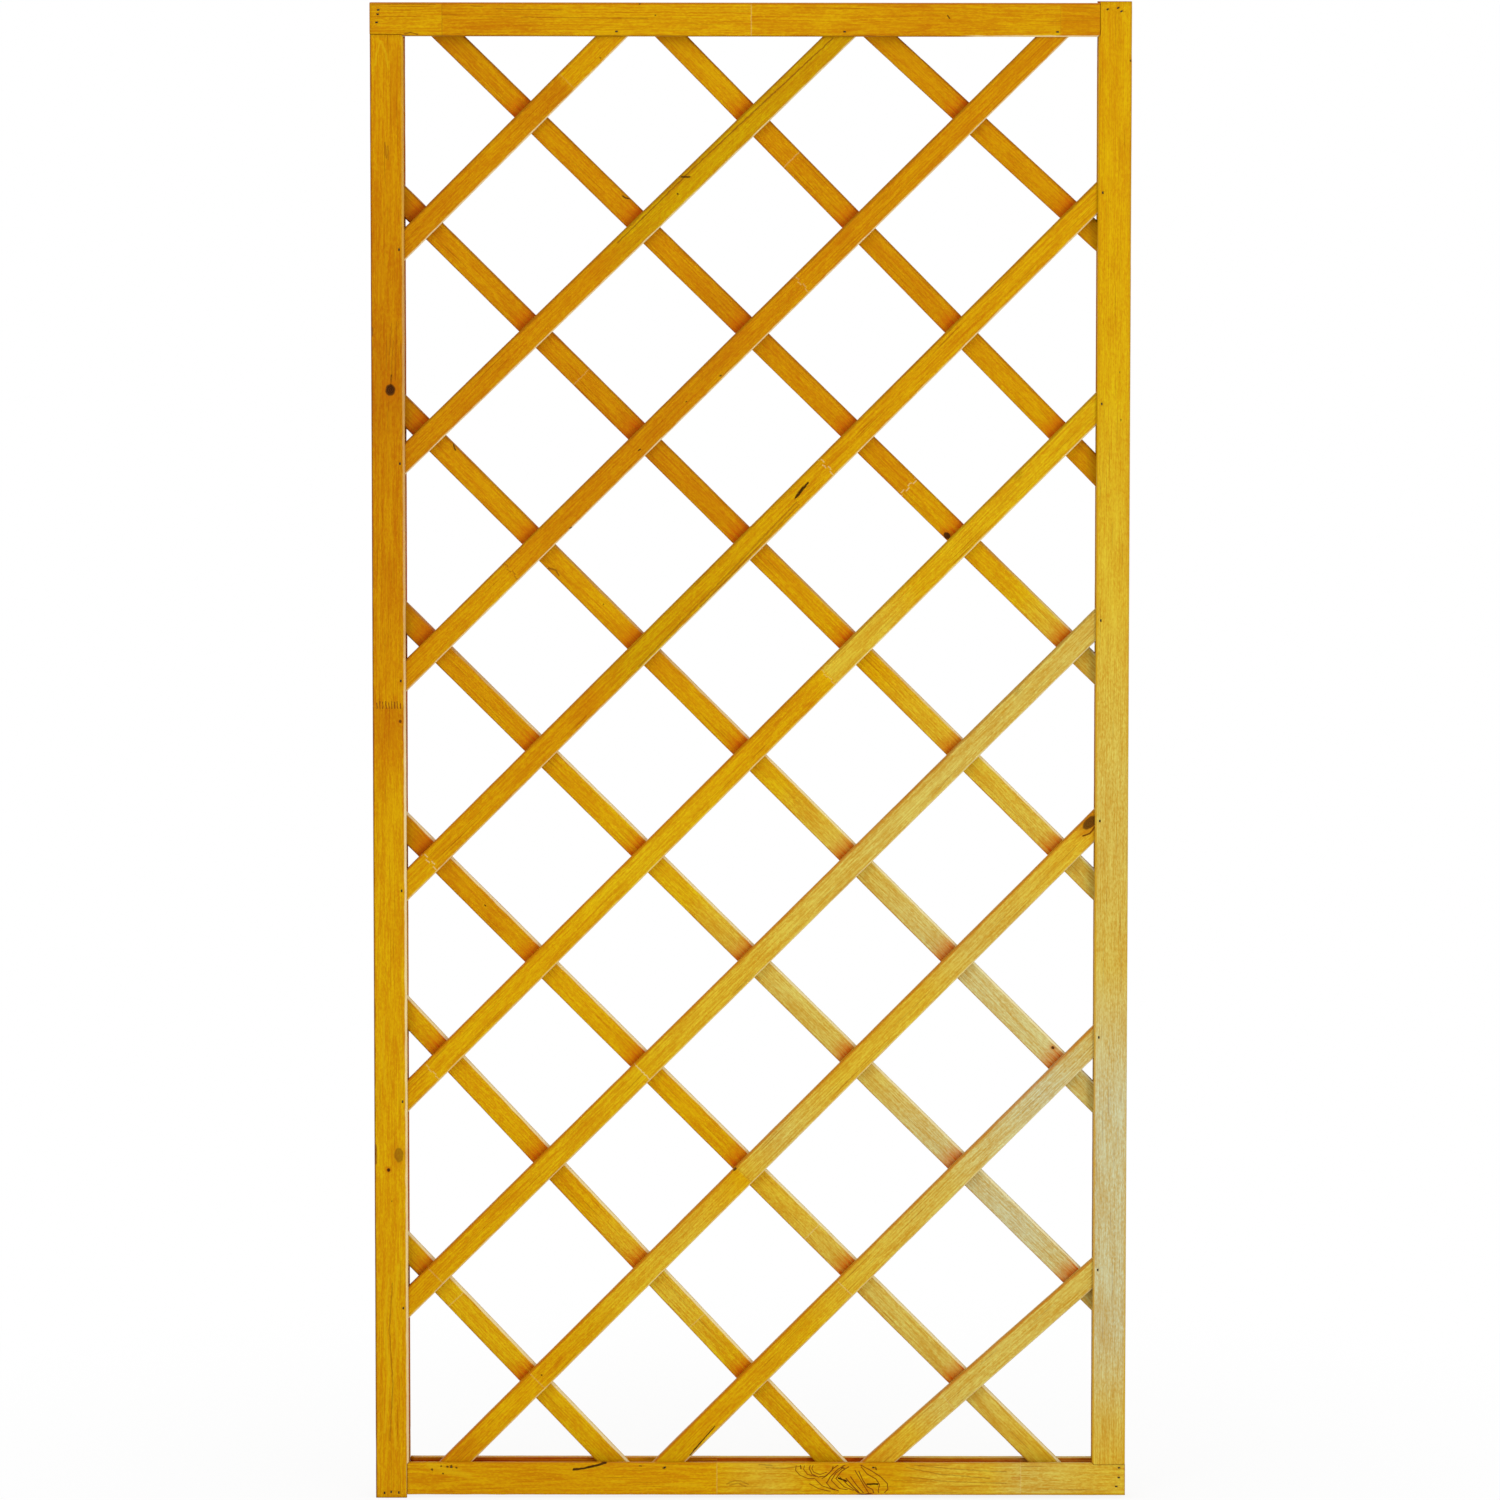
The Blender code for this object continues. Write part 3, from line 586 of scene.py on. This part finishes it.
looks.update({
    "front_slat_up_4": slat(
        10.0, ((0, "rust"), (190, "amber"), (300, "rust"), (308, "honey"), (416, "honey")),
        joints=((307.7, 0.05),), pith=(70.0, 20.0), strokes=(
            ("line", 362.9, 0.9, 363.2, 0.2, 0.6), ("mark", 355, -8.2, 355.8, -8.8, 0.5),
        )),
    "front_slat_up_3": slat(
        11.0, ((0, "rust"), (350, "amber"), (430, "olive"), (788, "olive")),
        pith=(-60.0, 25.0), ring=2.4, strokes=(
            ("brown", 747, 4.0, 640, 6.6, 521, 9.0, 394, 8.0, 0.9),
            ("mark", 503.3, 11.3, 510.2, 4.7, 1.3), ("mark", 485.7, 0.2, 486.2, -0.2, 0.9),
        )),
    "front_slat_up_2": slat(
        12.0, ((0, "amber"), (205, "honey"), (213, "amber"), (500, "rust"), (699, "amber"),
               (1150, "amber")),
        joints=((211.2, -0.5), (698.9, 0.15)), stepped=1.2, pith=(48.0, 30.0), strokes=(
            ("mark", 552.8, -8.9, 554.6, -9.6, 0.7), ("mark", 501.8, -2.3, 503.4, -2.6, 0.7),
            ("mark", 421.1, -3.6, 423.5, -4.2, 0.7), ("mark", 297.1, -12.2, 300, -12.6, 0.8),
        )),
    "front_slat_up_1": slat(
        13.0, ((0, "gold"), (74, "gold"), (80, "honey"), (350, "amber"), (420, "olive"), (745, "honey"),
               (1000, "honey"), (1233, "gold")),
        joints=((73.8, 0.35), (745.1, 0.3)), stepped=1.6, pith=(9.0, 24.0), lean=(0.006, 0.02),
        ring=2.6, ringDepth=0.6,
        strokes=(
            ("brown", 691, 0.2, 699, 3.0, 708, 4.0, 716, 2.8, 1.0),
            ("crack", 693, 0.4, 702, 1.0, 710, 1.8, 715, 2.8, 1.1),
            ("crack", 700, 2.0, 708, 3.2, 0.8),
            ("line", 690, -4.0, 600, -6.5, 500, -8.0, 417, -10.5, 1.0),
            ("line", 690, -8.0, 610, -10.0, 520, -11.5, 1.0),
        )),
    "front_slat_middle": slat(
        14.0, ((0, "honey"), (76, "gold"), (300, "gold"), (430, "butter"), (590, "gold"), (690, "honey"),
               (749, "gold"), (752, "straw"), (840, "straw"), (900, "butter"), (1236, "butter")),
        joints=((75.8, 0.2), (748.8, 0.15)), stepped=0.8, pith=(35.0, 26.0), strokes=(
            ("warm", 703, -5.0, 713, -8.0, 3.0), ("warm", 662, 4.0, 672, 5.0, 2.6),
        )),
    "front_slat_down_1": slat(
        15.0, ((0, "honey"), (80, "honey"), (190, "gold"), (432, "butter"), (436, "butter"),
               (590, "straw"), (830, "wheat"), (1230, "wheat")),
        joints=((79.9, 0.1), (431.6, 0.4)), pith=(60.0, 22.0)),
    "front_slat_down_2": slat(
        16.0, ((0, "rust"), (110, "gold"), (172, "gold"), (210, "honey"), (270, "butter"), (430, "straw"),
               (524, "gold"), (528, "straw"), (590, "wheat"), (690, "straw"), (830, "straw"),
               (910, "wheat"), (1060, "straw"), (1157, "gold")),
        joints=((172.4, 0.1), (526.7, -0.2)), pith=(40.0, 28.0),
        knots=((1121, 6.5, 5.0, 1.8, 0.85),), strokes=(
            ("mark", 522.5, 12.9, 525, 12.9, 1.4), ("warm", 203, -2.5, 212, -1.0, 3.2),
            ("mark", 180.9, 1.2, 181.5, 1.0, 0.8),
            ("crack", 1104, 1.0, 1112, -2.6, 1124, -1.5, 1136, 3.0, 0.8),
        )),
    "front_slat_down_3": slat(
        17.0, ((0, "olive"), (110, "gold"), (270, "butter"), (350, "straw"), (510, "wheat"),
               (590, "pale"), (669, "flax"), (789, "wheat")),
        joints=((332.8, 0.2),), pith=(55.0, 24.0), strokes=(
            ("crack", 56, -11.6, 80, -9.6, 103, -7.9, 0.55),
        )),
    "front_slat_down_4": slat(
        18.0, ((0, "honey"), (90, "straw"), (130, "wheat"), (412, "wheat")), joints=((147.7, 0.1),),
        pith=(-50.0, 26.0)),
    "rear_slat_up_4": slat(30.0, ((0, "amber"), (330, "amber"), (418, "honey")), pith=(64.0, 18.0)),
    "rear_slat_up_3": slat(
        31.0, ((0, "amber"), (110, "honey"), (190, "amber"), (430, "amber"), (600, "honey"),
               (790, "amber")),
        joints=((237.7, 0.15),), pith=(-66.0, 18.0)),
    "rear_slat_up_2": slat(
        32.0, ((0, "rust"), (110, "amber"), (430, "amber"), (510, "rust"), (600, "amber"),
               (799, "amber"), (803, "honey"), (910, "gold"), (990, "butter"), (1147, "wheat")),
        joints=((801, 0.35),), stepped=1.4, pith=(30.0, 22.0), lean=(0.0, 0.02),
        knots=((874.8, -9.6, 3.2, 1.3, 0.95),), strokes=(
            ("mark", 315, 9.6, 319, 10.4, 323, 12.6, 0.8),
        )),
    "rear_slat_up_1": slat(
        33.0, ((0, "rust"), (110, "amber"), (430, "rust"), (590, "amber"), (669, "honey"),
               (830, "gold"), (990, "straw"), (1228, "wheat")),
        joints=((329.2, 0.1),), pith=(52.0, 20.0)),
    "rear_slat_middle": slat(
        34.0, ((0, "rust"), (110, "amber"), (350, "honey"), (430, "amber"), (510, "honey"),
               (600, "honey"), (669, "butter"), (830, "wheat"), (990, "pale"), (1150, "pale"),
               (1234, "wheat")),
        pith=(-36.0, 24.0), knots=((1123, 8.2, 1.5, 1.2, 0.9),), strokes=(
            ("brown", 287, -11.5, 294, -7.4, 301, -9.0, 1.4), ("mark", 363.2, 4.4, 363.8, 4.0, 0.7),
            ("mark", 102, 12.6, 105, 10.8, 108, 9.8, 1.0),
        )),
    "rear_slat_down_1": slat(
        35.0, ((0, "rust"), (110, "amber"), (270, "honey"), (350, "gold"), (510, "butter"),
               (669, "wheat"), (830, "wheat"), (910, "pale"), (1070, "flax"), (1229, "wheat")),
        pith=(44.0, 22.0)),
    "rear_slat_down_2": slat(
        36.0, ((0, "amber"), (190, "amber"), (270, "gold"), (510, "gold"), (600, "honey"),
               (669, "straw"), (830, "wheat"), (990, "wheat"), (1150, "butter")),
        joints=((722.9, 0.2),), pith=(12.0, 24.0), lean=(0.0, 0.03), strokes=(
            ("mark", 164, 0.9, 166, 0.7, 0.7),
        )),
    "rear_slat_down_3": slat(
        37.0, ((0, "gold"), (190, "gold"), (270, "honey"), (350, "gold"), (510, "straw"),
               (600, "butter"), (811, "honey")),
        joints=((545.7, 0.15),), pith=(58.0, 22.0), fleckDepth=0.6),
    "rear_slat_down_4": slat(
        38.0, ((0, "honey"), (110, "butter"), (420, "gold")), joints=((118.7, 0.15),), pith=(-44.0, 24.0)),
})


def pieceFrame(node):
    # the piece's own axes: X along the grain, Y to the back, Z across, from its left or lower end
    faces = [f for f in node.data.polygons if abs(f.normal.y) < 1e-3]
    side = max(faces, key=lambda f: f.area).normal
    along = Vector((0, 1, 0)).cross(Vector((side.x, 0, side.z))).normalized()
    if along.x < -0.3 or (abs(along.x) < 0.3 and along.z < 0):
        along = -along
    back = Vector((0, 1, 0))
    across = along.cross(back)
    axes = (along, back, across)
    points = [v.co for v in node.data.vertices]
    low = [min(p.dot(a) for p in points) for a in axes]
    high = [max(p.dot(a) for p in points) for a in axes]
    origin = along * low[0] + back * (low[1] + high[1]) / 2 + across * (low[2] + high[2]) / 2
    matrix = Matrix((along, back, across)).transposed().to_4x4()
    matrix.translation = origin
    return matrix, high[0] - low[0], (high[2] - low[2]) / 2


# the finer mesh, in metres: how far apart its cuts are, how far the shade beside a crossing
# reaches, and how near two cuts or two points may lie; rim is the edge it keeps whole, in millimetres
fineMesh = dict(step=0.005, shade=0.026, nearestCut=2e-5, weld=2e-6, rim=3.0, sharp=35)
hollows = dict(knotDepth=0.7, crackDepth=1.3)
# worn edges, in millimetres: how far the wear reaches, its wave's length, how deep it wanders and dents
wearLook = dict(reach=3.0, wave=23.0, wander=0.16, dent=0.5)


def sliceUp(shape, faces, axis, cuts):
    # cuts the faces across the axis at each of the cuts, halving the work at each step
    if not cuts or not faces:
        return
    middle = len(cuts) // 2
    geometry = {*faces, *(e for f in faces for e in f.edges), *(v for f in faces for v in f.verts)}
    made = bmesh.ops.bisect_plane(
        shape, geom=list(geometry), plane_co=axis * cuts[middle], plane_no=axis, dist=1e-6
    )
    made = [part for part in made["geom"] if isinstance(part, bmesh.types.BMFace)]
    below = [f for f in made if f.calc_center_median().dot(axis) < cuts[middle]]
    above = [f for f in made if f.calc_center_median().dot(axis) >= cuts[middle]]
    sliceUp(shape, below, axis, cuts[:middle])
    sliceUp(shape, above, axis, cuts[middle + 1:])


def bandByHeight(edge, matrix, length):
    # turns a band given by height on the panel into one along the piece
    width, tones = edge
    low, rise = matrix.translation.z, matrix.col[0].z
    run = sorted(((height * mm - low) / rise / mm, name, share) for height, name, share in tones)
    inside = [stop for stop in run if 0 < stop[0] < length / mm]
    before = [stop for stop in run if stop[0] <= 0][-1:]
    after = [stop for stop in run if stop[0] >= length / mm][:1]
    return width, (*before, *inside, *after)


def crossingsOf(matrix, length):
    # where the front slats pass over a rear slat: each one's middle along it, in metres
    found = []
    for name, (other, otherLength, half) in pieceFrames.items():
        if not name.startswith("front_slat"):
            continue
        way, across = other.col[0].xyz, other.col[2].xyz
        start, along = matrix.translation, matrix.col[0].xyz
        place = (other.translation - start).dot(across) / along.dot(across)
        crossed = (start + along * place - other.translation).dot(way)
        if 0 < place < length and 0 < crossed < otherLength:
            found.append(place)
    return sorted(found)


def strokeGap(x, z, run):
    # how far a place is from a stroke's line, in millimetres
    best = 1e9
    for number in range(0, len(run) - 2, 2):
        start = Vector(run[number:number + 2])
        way = Vector(run[number + 2:number + 4]) - start
        off = Vector((x, z)) - start
        share = min(max(off.dot(way) / max(way.length_squared, 1e-6), 0.0), 1.0)
        best = min(best, (off - way * share).length)
    return best


def cutFront(shape, deep, x, reachX, lowZ, highZ, grain):
    # cuts a part of the front face into cells about as wide as grain, in millimetres
    near = [
        f for f in shape.faces
        if f.normal.y < -0.99 and f.calc_center_median().y < -deep + 0.0003
        and min(v.co.x for v in f.verts) / mm < x + reachX
        and max(v.co.x for v in f.verts) / mm > x - reachX
    ]
    for axis, low, high in ((Vector((0, 0, 1)), lowZ, highZ), (Vector((1, 0, 0)), x - reachX, x + reachX)):
        if high <= low:
            continue
        count = max(int((high - low) / grain), 1)
        sliceUp(shape, near, axis, [(low + (high - low) * n / count) * mm for n in range(count + 1)])
        near = [
            f for f in shape.faces
            if f.normal.y < -0.99 and f.calc_center_median().y < -deep + 0.0003
            and abs(f.calc_center_median().x / mm - x) < reachX
            and lowZ < f.calc_center_median().z / mm < highZ
        ]


def markVeins(mesh, look, deep):
    # how near each place on the front is to one of the veins, in shares of the vein's width
    mask = mesh.attributes.new("vein", "FLOAT", "POINT")
    for *run, width in look["veins"]:
        reach = 1.4 * width
        lowX, highX = min(run[0::2]) - reach, max(run[0::2]) + reach
        lowZ, highZ = min(run[1::2]) - reach, max(run[1::2]) + reach
        for vertex, spot in zip(mesh.vertices, mask.data):
            x, z = vertex.co.x / mm, vertex.co.z / mm
            if lowX < x < highX and lowZ < z < highZ and vertex.co.y < 0:
                spot.value = max(spot.value, 1 - strokeGap(x, z, run) / reach)


def openUp(shape, look, half, deep):
    # sinks the knots and cracks into the front face, on a finer grid cut round each of them
    spots = [(x, z, size * stretch + 1.5, size + 1.5) for x, z, size, stretch, depth in look["knots"]]
    cracks = [stroke for stroke in look["strokes"] if stroke[0] == "crack"]
    for kind, *run, width in cracks:
        xs, zs = run[0::2], run[1::2]
        spots.append((
            (min(xs) + max(xs)) / 2, (min(zs) + max(zs)) / 2,
            (max(xs) - min(xs)) / 2 + 2.5, (max(zs) - min(zs)) / 2 + 2.5,
        ))
    edge = half / mm - fineMesh["rim"]
    for x, z, reachX, reachZ in spots:
        cutFront(shape, deep, x, reachX, max(z - reachZ, -edge), min(z + reachZ, edge), look["fineCut"])
    edge = half / mm - 3.2
    for vertex in shape.verts:
        if vertex.co.y > -deep + 1e-5 or abs(vertex.co.z / mm) > edge:
            continue
        x, z = vertex.co.x / mm, vertex.co.z / mm
        sink = 0.0
        for knotX, knotZ, size, stretch, depth in look["knots"]:
            gap = math.hypot((x - knotX) / size / stretch, (z - knotZ) / size)
            sink = max(sink, hollows["knotDepth"] * depth * max(1.0 - gap, 0.0) ** 0.6)
        for kind, *run, width in cracks:
            nearness = max(1.0 - strokeGap(x, z, run) / (1.3 * width), 0.0)
            sink = max(sink, hollows["crackDepth"] * nearness)
        vertex.co.y += sink * mm


def wearEdges(shape, look, half, deep, length):
    # long edges wander a little inward, and lose a chip here and there
    for vertex in shape.verts:
        x, z = vertex.co.x / mm, vertex.co.z / mm
        side = 1 if z > 0 else -1
        inward, behind = half / mm - abs(z), deep / mm - abs(vertex.co.y / mm)
        if max(inward, behind) > wearLook["reach"]:
            continue
        spot = Vector((x / wearLook["wave"], side * 4.0 + look["seed"], vertex.co.y * 90))
        wear = wearLook["wander"] * (1.0 + noise.noise(spot))
        wear += wearLook["dent"] * max(noise.noise(spot * 0.31) - 0.35, 0.0)
        for chipX, chipSide, reach, depth in look["chips"]:
            if chipSide == side and vertex.co.y < 0:
                wear = max(wear, depth * max(1.0 - ((x - chipX) / reach) ** 2, 0.0))
        vertex.co.z -= side * wear * mm
        vertex.co.y -= math.copysign(0.5 * min(wear, 0.5) * mm, vertex.co.y)


def finePiece(name):
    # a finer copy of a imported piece, with its grain along its own X
    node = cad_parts[name]
    matrix, length, half = pieceFrames[name]
    look = dict(looks[name])
    mesh = node.data.copy()
    mesh.transform(matrix.inverted())
    deep = max(abs(v.co.y) for v in mesh.vertices)
    shape = bmesh.new()
    shape.from_mesh(mesh)
    bmesh.ops.remove_doubles(shape, verts=shape.verts, dist=fineMesh["weld"])
    step, shade = fineMesh["step"], fineMesh["shade"]
    cuts = [step * n for n in range(1, int(length / step))]
    crossings = crossingsOf(matrix, length) if name.startswith("rear") else []
    for place in crossings:
        cuts += [place, place - half, place - half - shade]
    cuts = sorted(c for c in cuts if 0 < c < length)
    cuts = [c for n, c in enumerate(cuts) if n == 0 or c - cuts[n - 1] > fineMesh["nearestCut"]]
    sliceUp(shape, shape.faces[:], Vector((1, 0, 0)), cuts)
    shape.normal_update()
    if look["veins"]:
        places = [place for run in look["veins"] for place in run[0:-1:2]]
        middle, reach = (min(places) + max(places)) / 2, (max(places) - min(places)) / 2 + 1
        edge = half / mm - fineMesh["rim"]
        cutFront(shape, deep, middle, reach, -edge, edge, look["veinCut"])
    openUp(shape, look, half, deep)
    wearEdges(shape, look, half, deep, length)
    shape.normal_update()
    shape.to_mesh(mesh)
    shape.free()
    if look["veins"]:
        markVeins(mesh, look, deep)
    # painted shadow beside each crossing: rising from the front slat's middle to its edge, then fading over
    # the shade's reach on one side
    if crossings:
        mask = mesh.attributes.new("crossing", "FLOAT", "POINT")
        for vertex, spot in zip(mesh.vertices, mask.data):
            for place in crossings:
                past = place - vertex.co.x
                under, beside = past / half, 1 - (past - half) / shade
                if past > 0:
                    spot.value = max(spot.value, min(under, beside, 1.0))
    # slats take their painted edge highlights and shade by height, and rear slats the painted shadow beside
    # each crossing
    if "slat" in name:
        rear = name.startswith("rear")
        edges = rearSlatEdgeShading if rear else frontSlatEdgeShading
        look["highBand"] = bandByHeight(edges["high"], matrix, length)
        look["lowBand"] = bandByHeight(edges["low"], matrix, length)
        look["crossing"] = crossingShadeAndStain if rear else 0.0
    mesh.name = name + "_wood"
    piece = bpy.data.objects.new(name + "_wood", mesh)
    bpy.context.scene.collection.objects.link(piece)
    piece.matrix_world = matrix
    mesh.materials.clear()
    mesh.materials.append(makePine(name + "_pine", look, length / mm, half / mm, deep / mm))
    mesh.shade_smooth()
    mesh.set_sharp_from_angle(angle=math.radians(fineMesh["sharp"]))
    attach(piece, "root")
    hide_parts(name)
    return piece


# brads and staples

steelLook = dict(bright="steel", dull="soot", rust="scale", roughness=0.55)
stapleLook = dict(width=10.0, wire=1.2, legs=3.0, bend=0.9, proud=0.35, turn=45.0, wander=9.0)
rearBradLook = dict(fromEnd=9.0, head=1.4, crown=0.25, shank=0.8, depth=6.0, sink=0.08)


def makeSteel():
    steel = bpy.data.materials.new("darkenedSteel")
    steel.use_nodes = True
    tree = steel.node_tree
    shader = tree.nodes["Principled BSDF"]
    place = vector(tree, "SCALE", addNode(tree, "TexCoord").outputs["Object"], None, None, 1000.0)
    cloud = clouds(tree, place, (1.6, 1.6, 1.6), 3.0, 3.0).outputs[0]
    grit = clouds(tree, place, (0.5, 0.5, 0.5), 5.0, 3.0).outputs[0]
    colour = tint(tree, ease(tree, cloud, 0.35, 0.65), stain(steelLook["dull"]), stain(steelLook["bright"]))
    colour = tint(tree, ease(tree, grit, 0.5, 0.62, 0.0, 0.8), colour, stain(steelLook["rust"]))
    put(tree, shader.inputs["Base Color"], colour)
    put(tree, shader.inputs["Metallic"], ease(tree, grit, 0.62, 0.5, 0.2, 0.9))
    put(tree, shader.inputs["Roughness"], ease(tree, grit, 0.4, 0.6, steelLook["roughness"] - 0.1, 0.8))
    bump = addNode(tree, "Bump")
    put(tree, bump.inputs["Strength"], 0.4)
    put(tree, bump.inputs["Distance"], 0.0001)
    put(tree, bump.inputs["Height"], grit)
    put(tree, shader.inputs["Normal"], bump.outputs[0])
    return steel


def metalPiece(name, shape, matrix, steel):
    mesh = bpy.data.meshes.new(name)
    bmesh.ops.recalc_face_normals(shape, faces=shape.faces)
    shape.to_mesh(mesh)
    shape.free()
    mesh.materials.append(steel)
    mesh.shade_smooth()
    mesh.set_sharp_from_angle(angle=math.radians(50))
    piece = bpy.data.objects.new(name, mesh)
    bpy.context.scene.collection.objects.link(piece)
    piece.matrix_world = matrix
    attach(piece, "root")
    return piece


def bridgeRings(shape, rings):
    for low, high in zip(rings, rings[1:]):
        for number in range(len(low)):
            after = (number + 1) % len(low)
            shape.faces.new((low[number], low[after], high[after], high[number]))
    shape.faces.new(rings[0][::-1])
    shape.faces.new(rings[-1])


def stapleShape():
    # a bent wire: leg, shoulder, crown, shoulder, leg; its crown lies along X and its legs go to -Y
    look = stapleLook
    reach, bend = look["width"] / 2 - look["wire"] / 2, look["bend"]
    path = [Vector((-reach, -look["legs"])), Vector((-reach, -bend))]
    for step in range(1, 5):
        angle = math.radians(90 * step / 4)
        path.append(Vector((-reach + bend - bend * math.cos(angle), -bend + bend * math.sin(angle))))
    path += [Vector((-p.x, p.y)) for p in reversed(path)]
    shape, rings = bmesh.new(), []
    for number, point in enumerate(path):
        before, after = path[max(number - 1, 0)], path[min(number + 1, len(path) - 1)]
        way = (after - before).normalized()
        normal = Vector((-way.y, way.x))
        ring = []
        for side in range(10):
            angle = math.radians(36 * side)
            out = normal * math.cos(angle) * look["wire"] / 2 * 0.8
            ring.append(shape.verts.new((
                (point.x + out.x) * mm, (point.y + out.y) * mm, math.sin(angle) * look["wire"] / 2 * mm
            )))
        rings.append(ring)
    bridgeRings(shape, rings)
    return shape


def rearBradShape():
    # a shallow domed head on a shank, its top at zero and its point towards -Y
    look = rearBradLook
    outline = [
        (look["shank"] / 2 * 0.3, -look["depth"]), (look["shank"] / 2, -look["depth"] * 0.85),
        (look["shank"] / 2, -look["crown"] - 0.5), (look["head"] * 0.9, -look["crown"] - 0.25),
        (look["head"], -look["crown"]), (look["head"] * 0.8, -look["crown"] * 0.3), (look["head"] * 0.4, 0.0),
    ]
    shape = bmesh.new()
    rings = []
    for radius, height in outline:
        rings.append([
            shape.verts.new((
                radius * math.cos(math.radians(30 * n)) * mm, height * mm,
                radius * math.sin(math.radians(30 * n)) * mm,
            )) for n in range(12)
        ])
    bridgeRings(shape, rings)
    return shape


def fastenBack(steel):
    # one staple over each crossing and one brad at each rear slat's end, all driven from behind
    back = cadBox[1][1]
    for name, (matrix, length, half) in pieceFrames.items():
        if not name.startswith("rear_slat"):
            continue
        deep = max(abs((matrix.inverted() @ v.co).y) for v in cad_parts[name].data.vertices)
        for number, place in enumerate(crossingsOf(matrix, length)):
            wander = noise.noise(Vector((place * 40, length * 3, 0.5))) * stapleLook["wander"]
            turn = Matrix.Rotation(math.radians(stapleLook["turn"] + wander), 4, "Y")
            lift = deep + (stapleLook["proud"] - stapleLook["wire"] * 0.4) * mm
            shift = Vector((place + wander * 0.15 * mm, lift, wander * 0.2 * mm))
            spot = matrix @ Matrix.Translation(shift) @ turn
            metalPiece(f"{name}_staple_{number + 1}", stapleShape(), spot, steel)
        fromEnd = rearBradLook["fromEnd"] * mm
        for end, place in (("left", fromEnd), ("right", length - fromEnd)):
            spot = matrix @ Vector((place, 0, 0))
            spot.y = back - rearBradLook["sink"] * mm
            metalPiece(f"{name}_{end}_brad", rearBradShape(), Matrix.Translation(spot), steel)


def makeWorld():
    world = bpy.data.worlds.new("studio")
    world.use_nodes = True
    bpy.context.scene.world = world
    tree = world.node_tree
    paths = addNode(tree, "LightPath").outputs
    seen = calc(tree, "MAXIMUM", calc(tree, "MAXIMUM", paths["Is Camera Ray"], paths["Is Glossy Ray"]),
                paths["Is Transmission Ray"])
    sky = tree.nodes["Background"]
    sky.inputs["Color"].default_value = (1, 1, 1, 1)
    put(tree, sky.inputs["Strength"], ease(tree, seen, 0.0, 1.0, studio["ambient"], 1.0))


def makeFloor():
    mesh = bpy.data.meshes.new("floor")
    reach = floorLook["size"] / 2
    shape = bmesh.new()
    bmesh.ops.create_grid(shape, x_segments=8, y_segments=8, size=reach)
    shape.to_mesh(mesh)
    shape.free()
    floor = bpy.data.objects.new("floor", mesh)
    bpy.context.scene.collection.objects.link(floor)
    floor.location.z = -floorLook["drop"]
    paint = bpy.data.materials.new("paleFloor")
    paint.use_nodes = True
    tree = paint.node_tree
    tree.nodes.clear()
    place = addNode(tree, "TexCoord").outputs["Object"]
    away = addNode(tree, "VectorMath", (place,), operation="LENGTH").outputs["Value"]
    paths = addNode(tree, "LightPath").outputs
    far = ease(tree, away, floorLook["nearFade"], floorLook["farFade"], floorLook["nearShare"], 1.0)
    far = calc(tree, "MULTIPLY", far, paths["Is Camera Ray"])
    matt = addNode(tree, "BsdfDiffuse", ((floorLook["paleness"],) * 3 + (1.0,),)).outputs[0]
    white = addNode(tree, "Emission", ((1, 1, 1, 1), 1.0)).outputs[0]
    mixed = addNode(tree, "MixShader", (far, matt, white)).outputs[0]
    end = addNode(tree, "OutputMaterial")
    tree.links.new(mixed, end.inputs["Surface"])
    mesh.materials.append(paint)


pieceFrames = {name: pieceFrame(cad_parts[name]) for name in looks}
strokeGroup = makeStroke()
pineGrain = makeGrain()
makeCamera()
softLamp("keyLamp", studio["keyPlace"], studio["keyAim"], studio["keySize"], studio["keyPower"])
softLamp("fillLamp", studio["fillPlace"], studio["fillAim"], studio["fillSize"], studio["fillPower"])
makeWorld()
makeFloor()
print("studio is ready")

for name in looks:
    finePiece(name)
print("wood is on")

steel = makeSteel()
for name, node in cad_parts.items():
    if name.endswith("brad") or "_brad_" in name:
        node.material_slots[0].material = steel
fastenBack(steel)
print("brads and staples are in")

bpy.context.scene.view_settings.view_transform = "Standard"
bpy.context.view_layer.update()
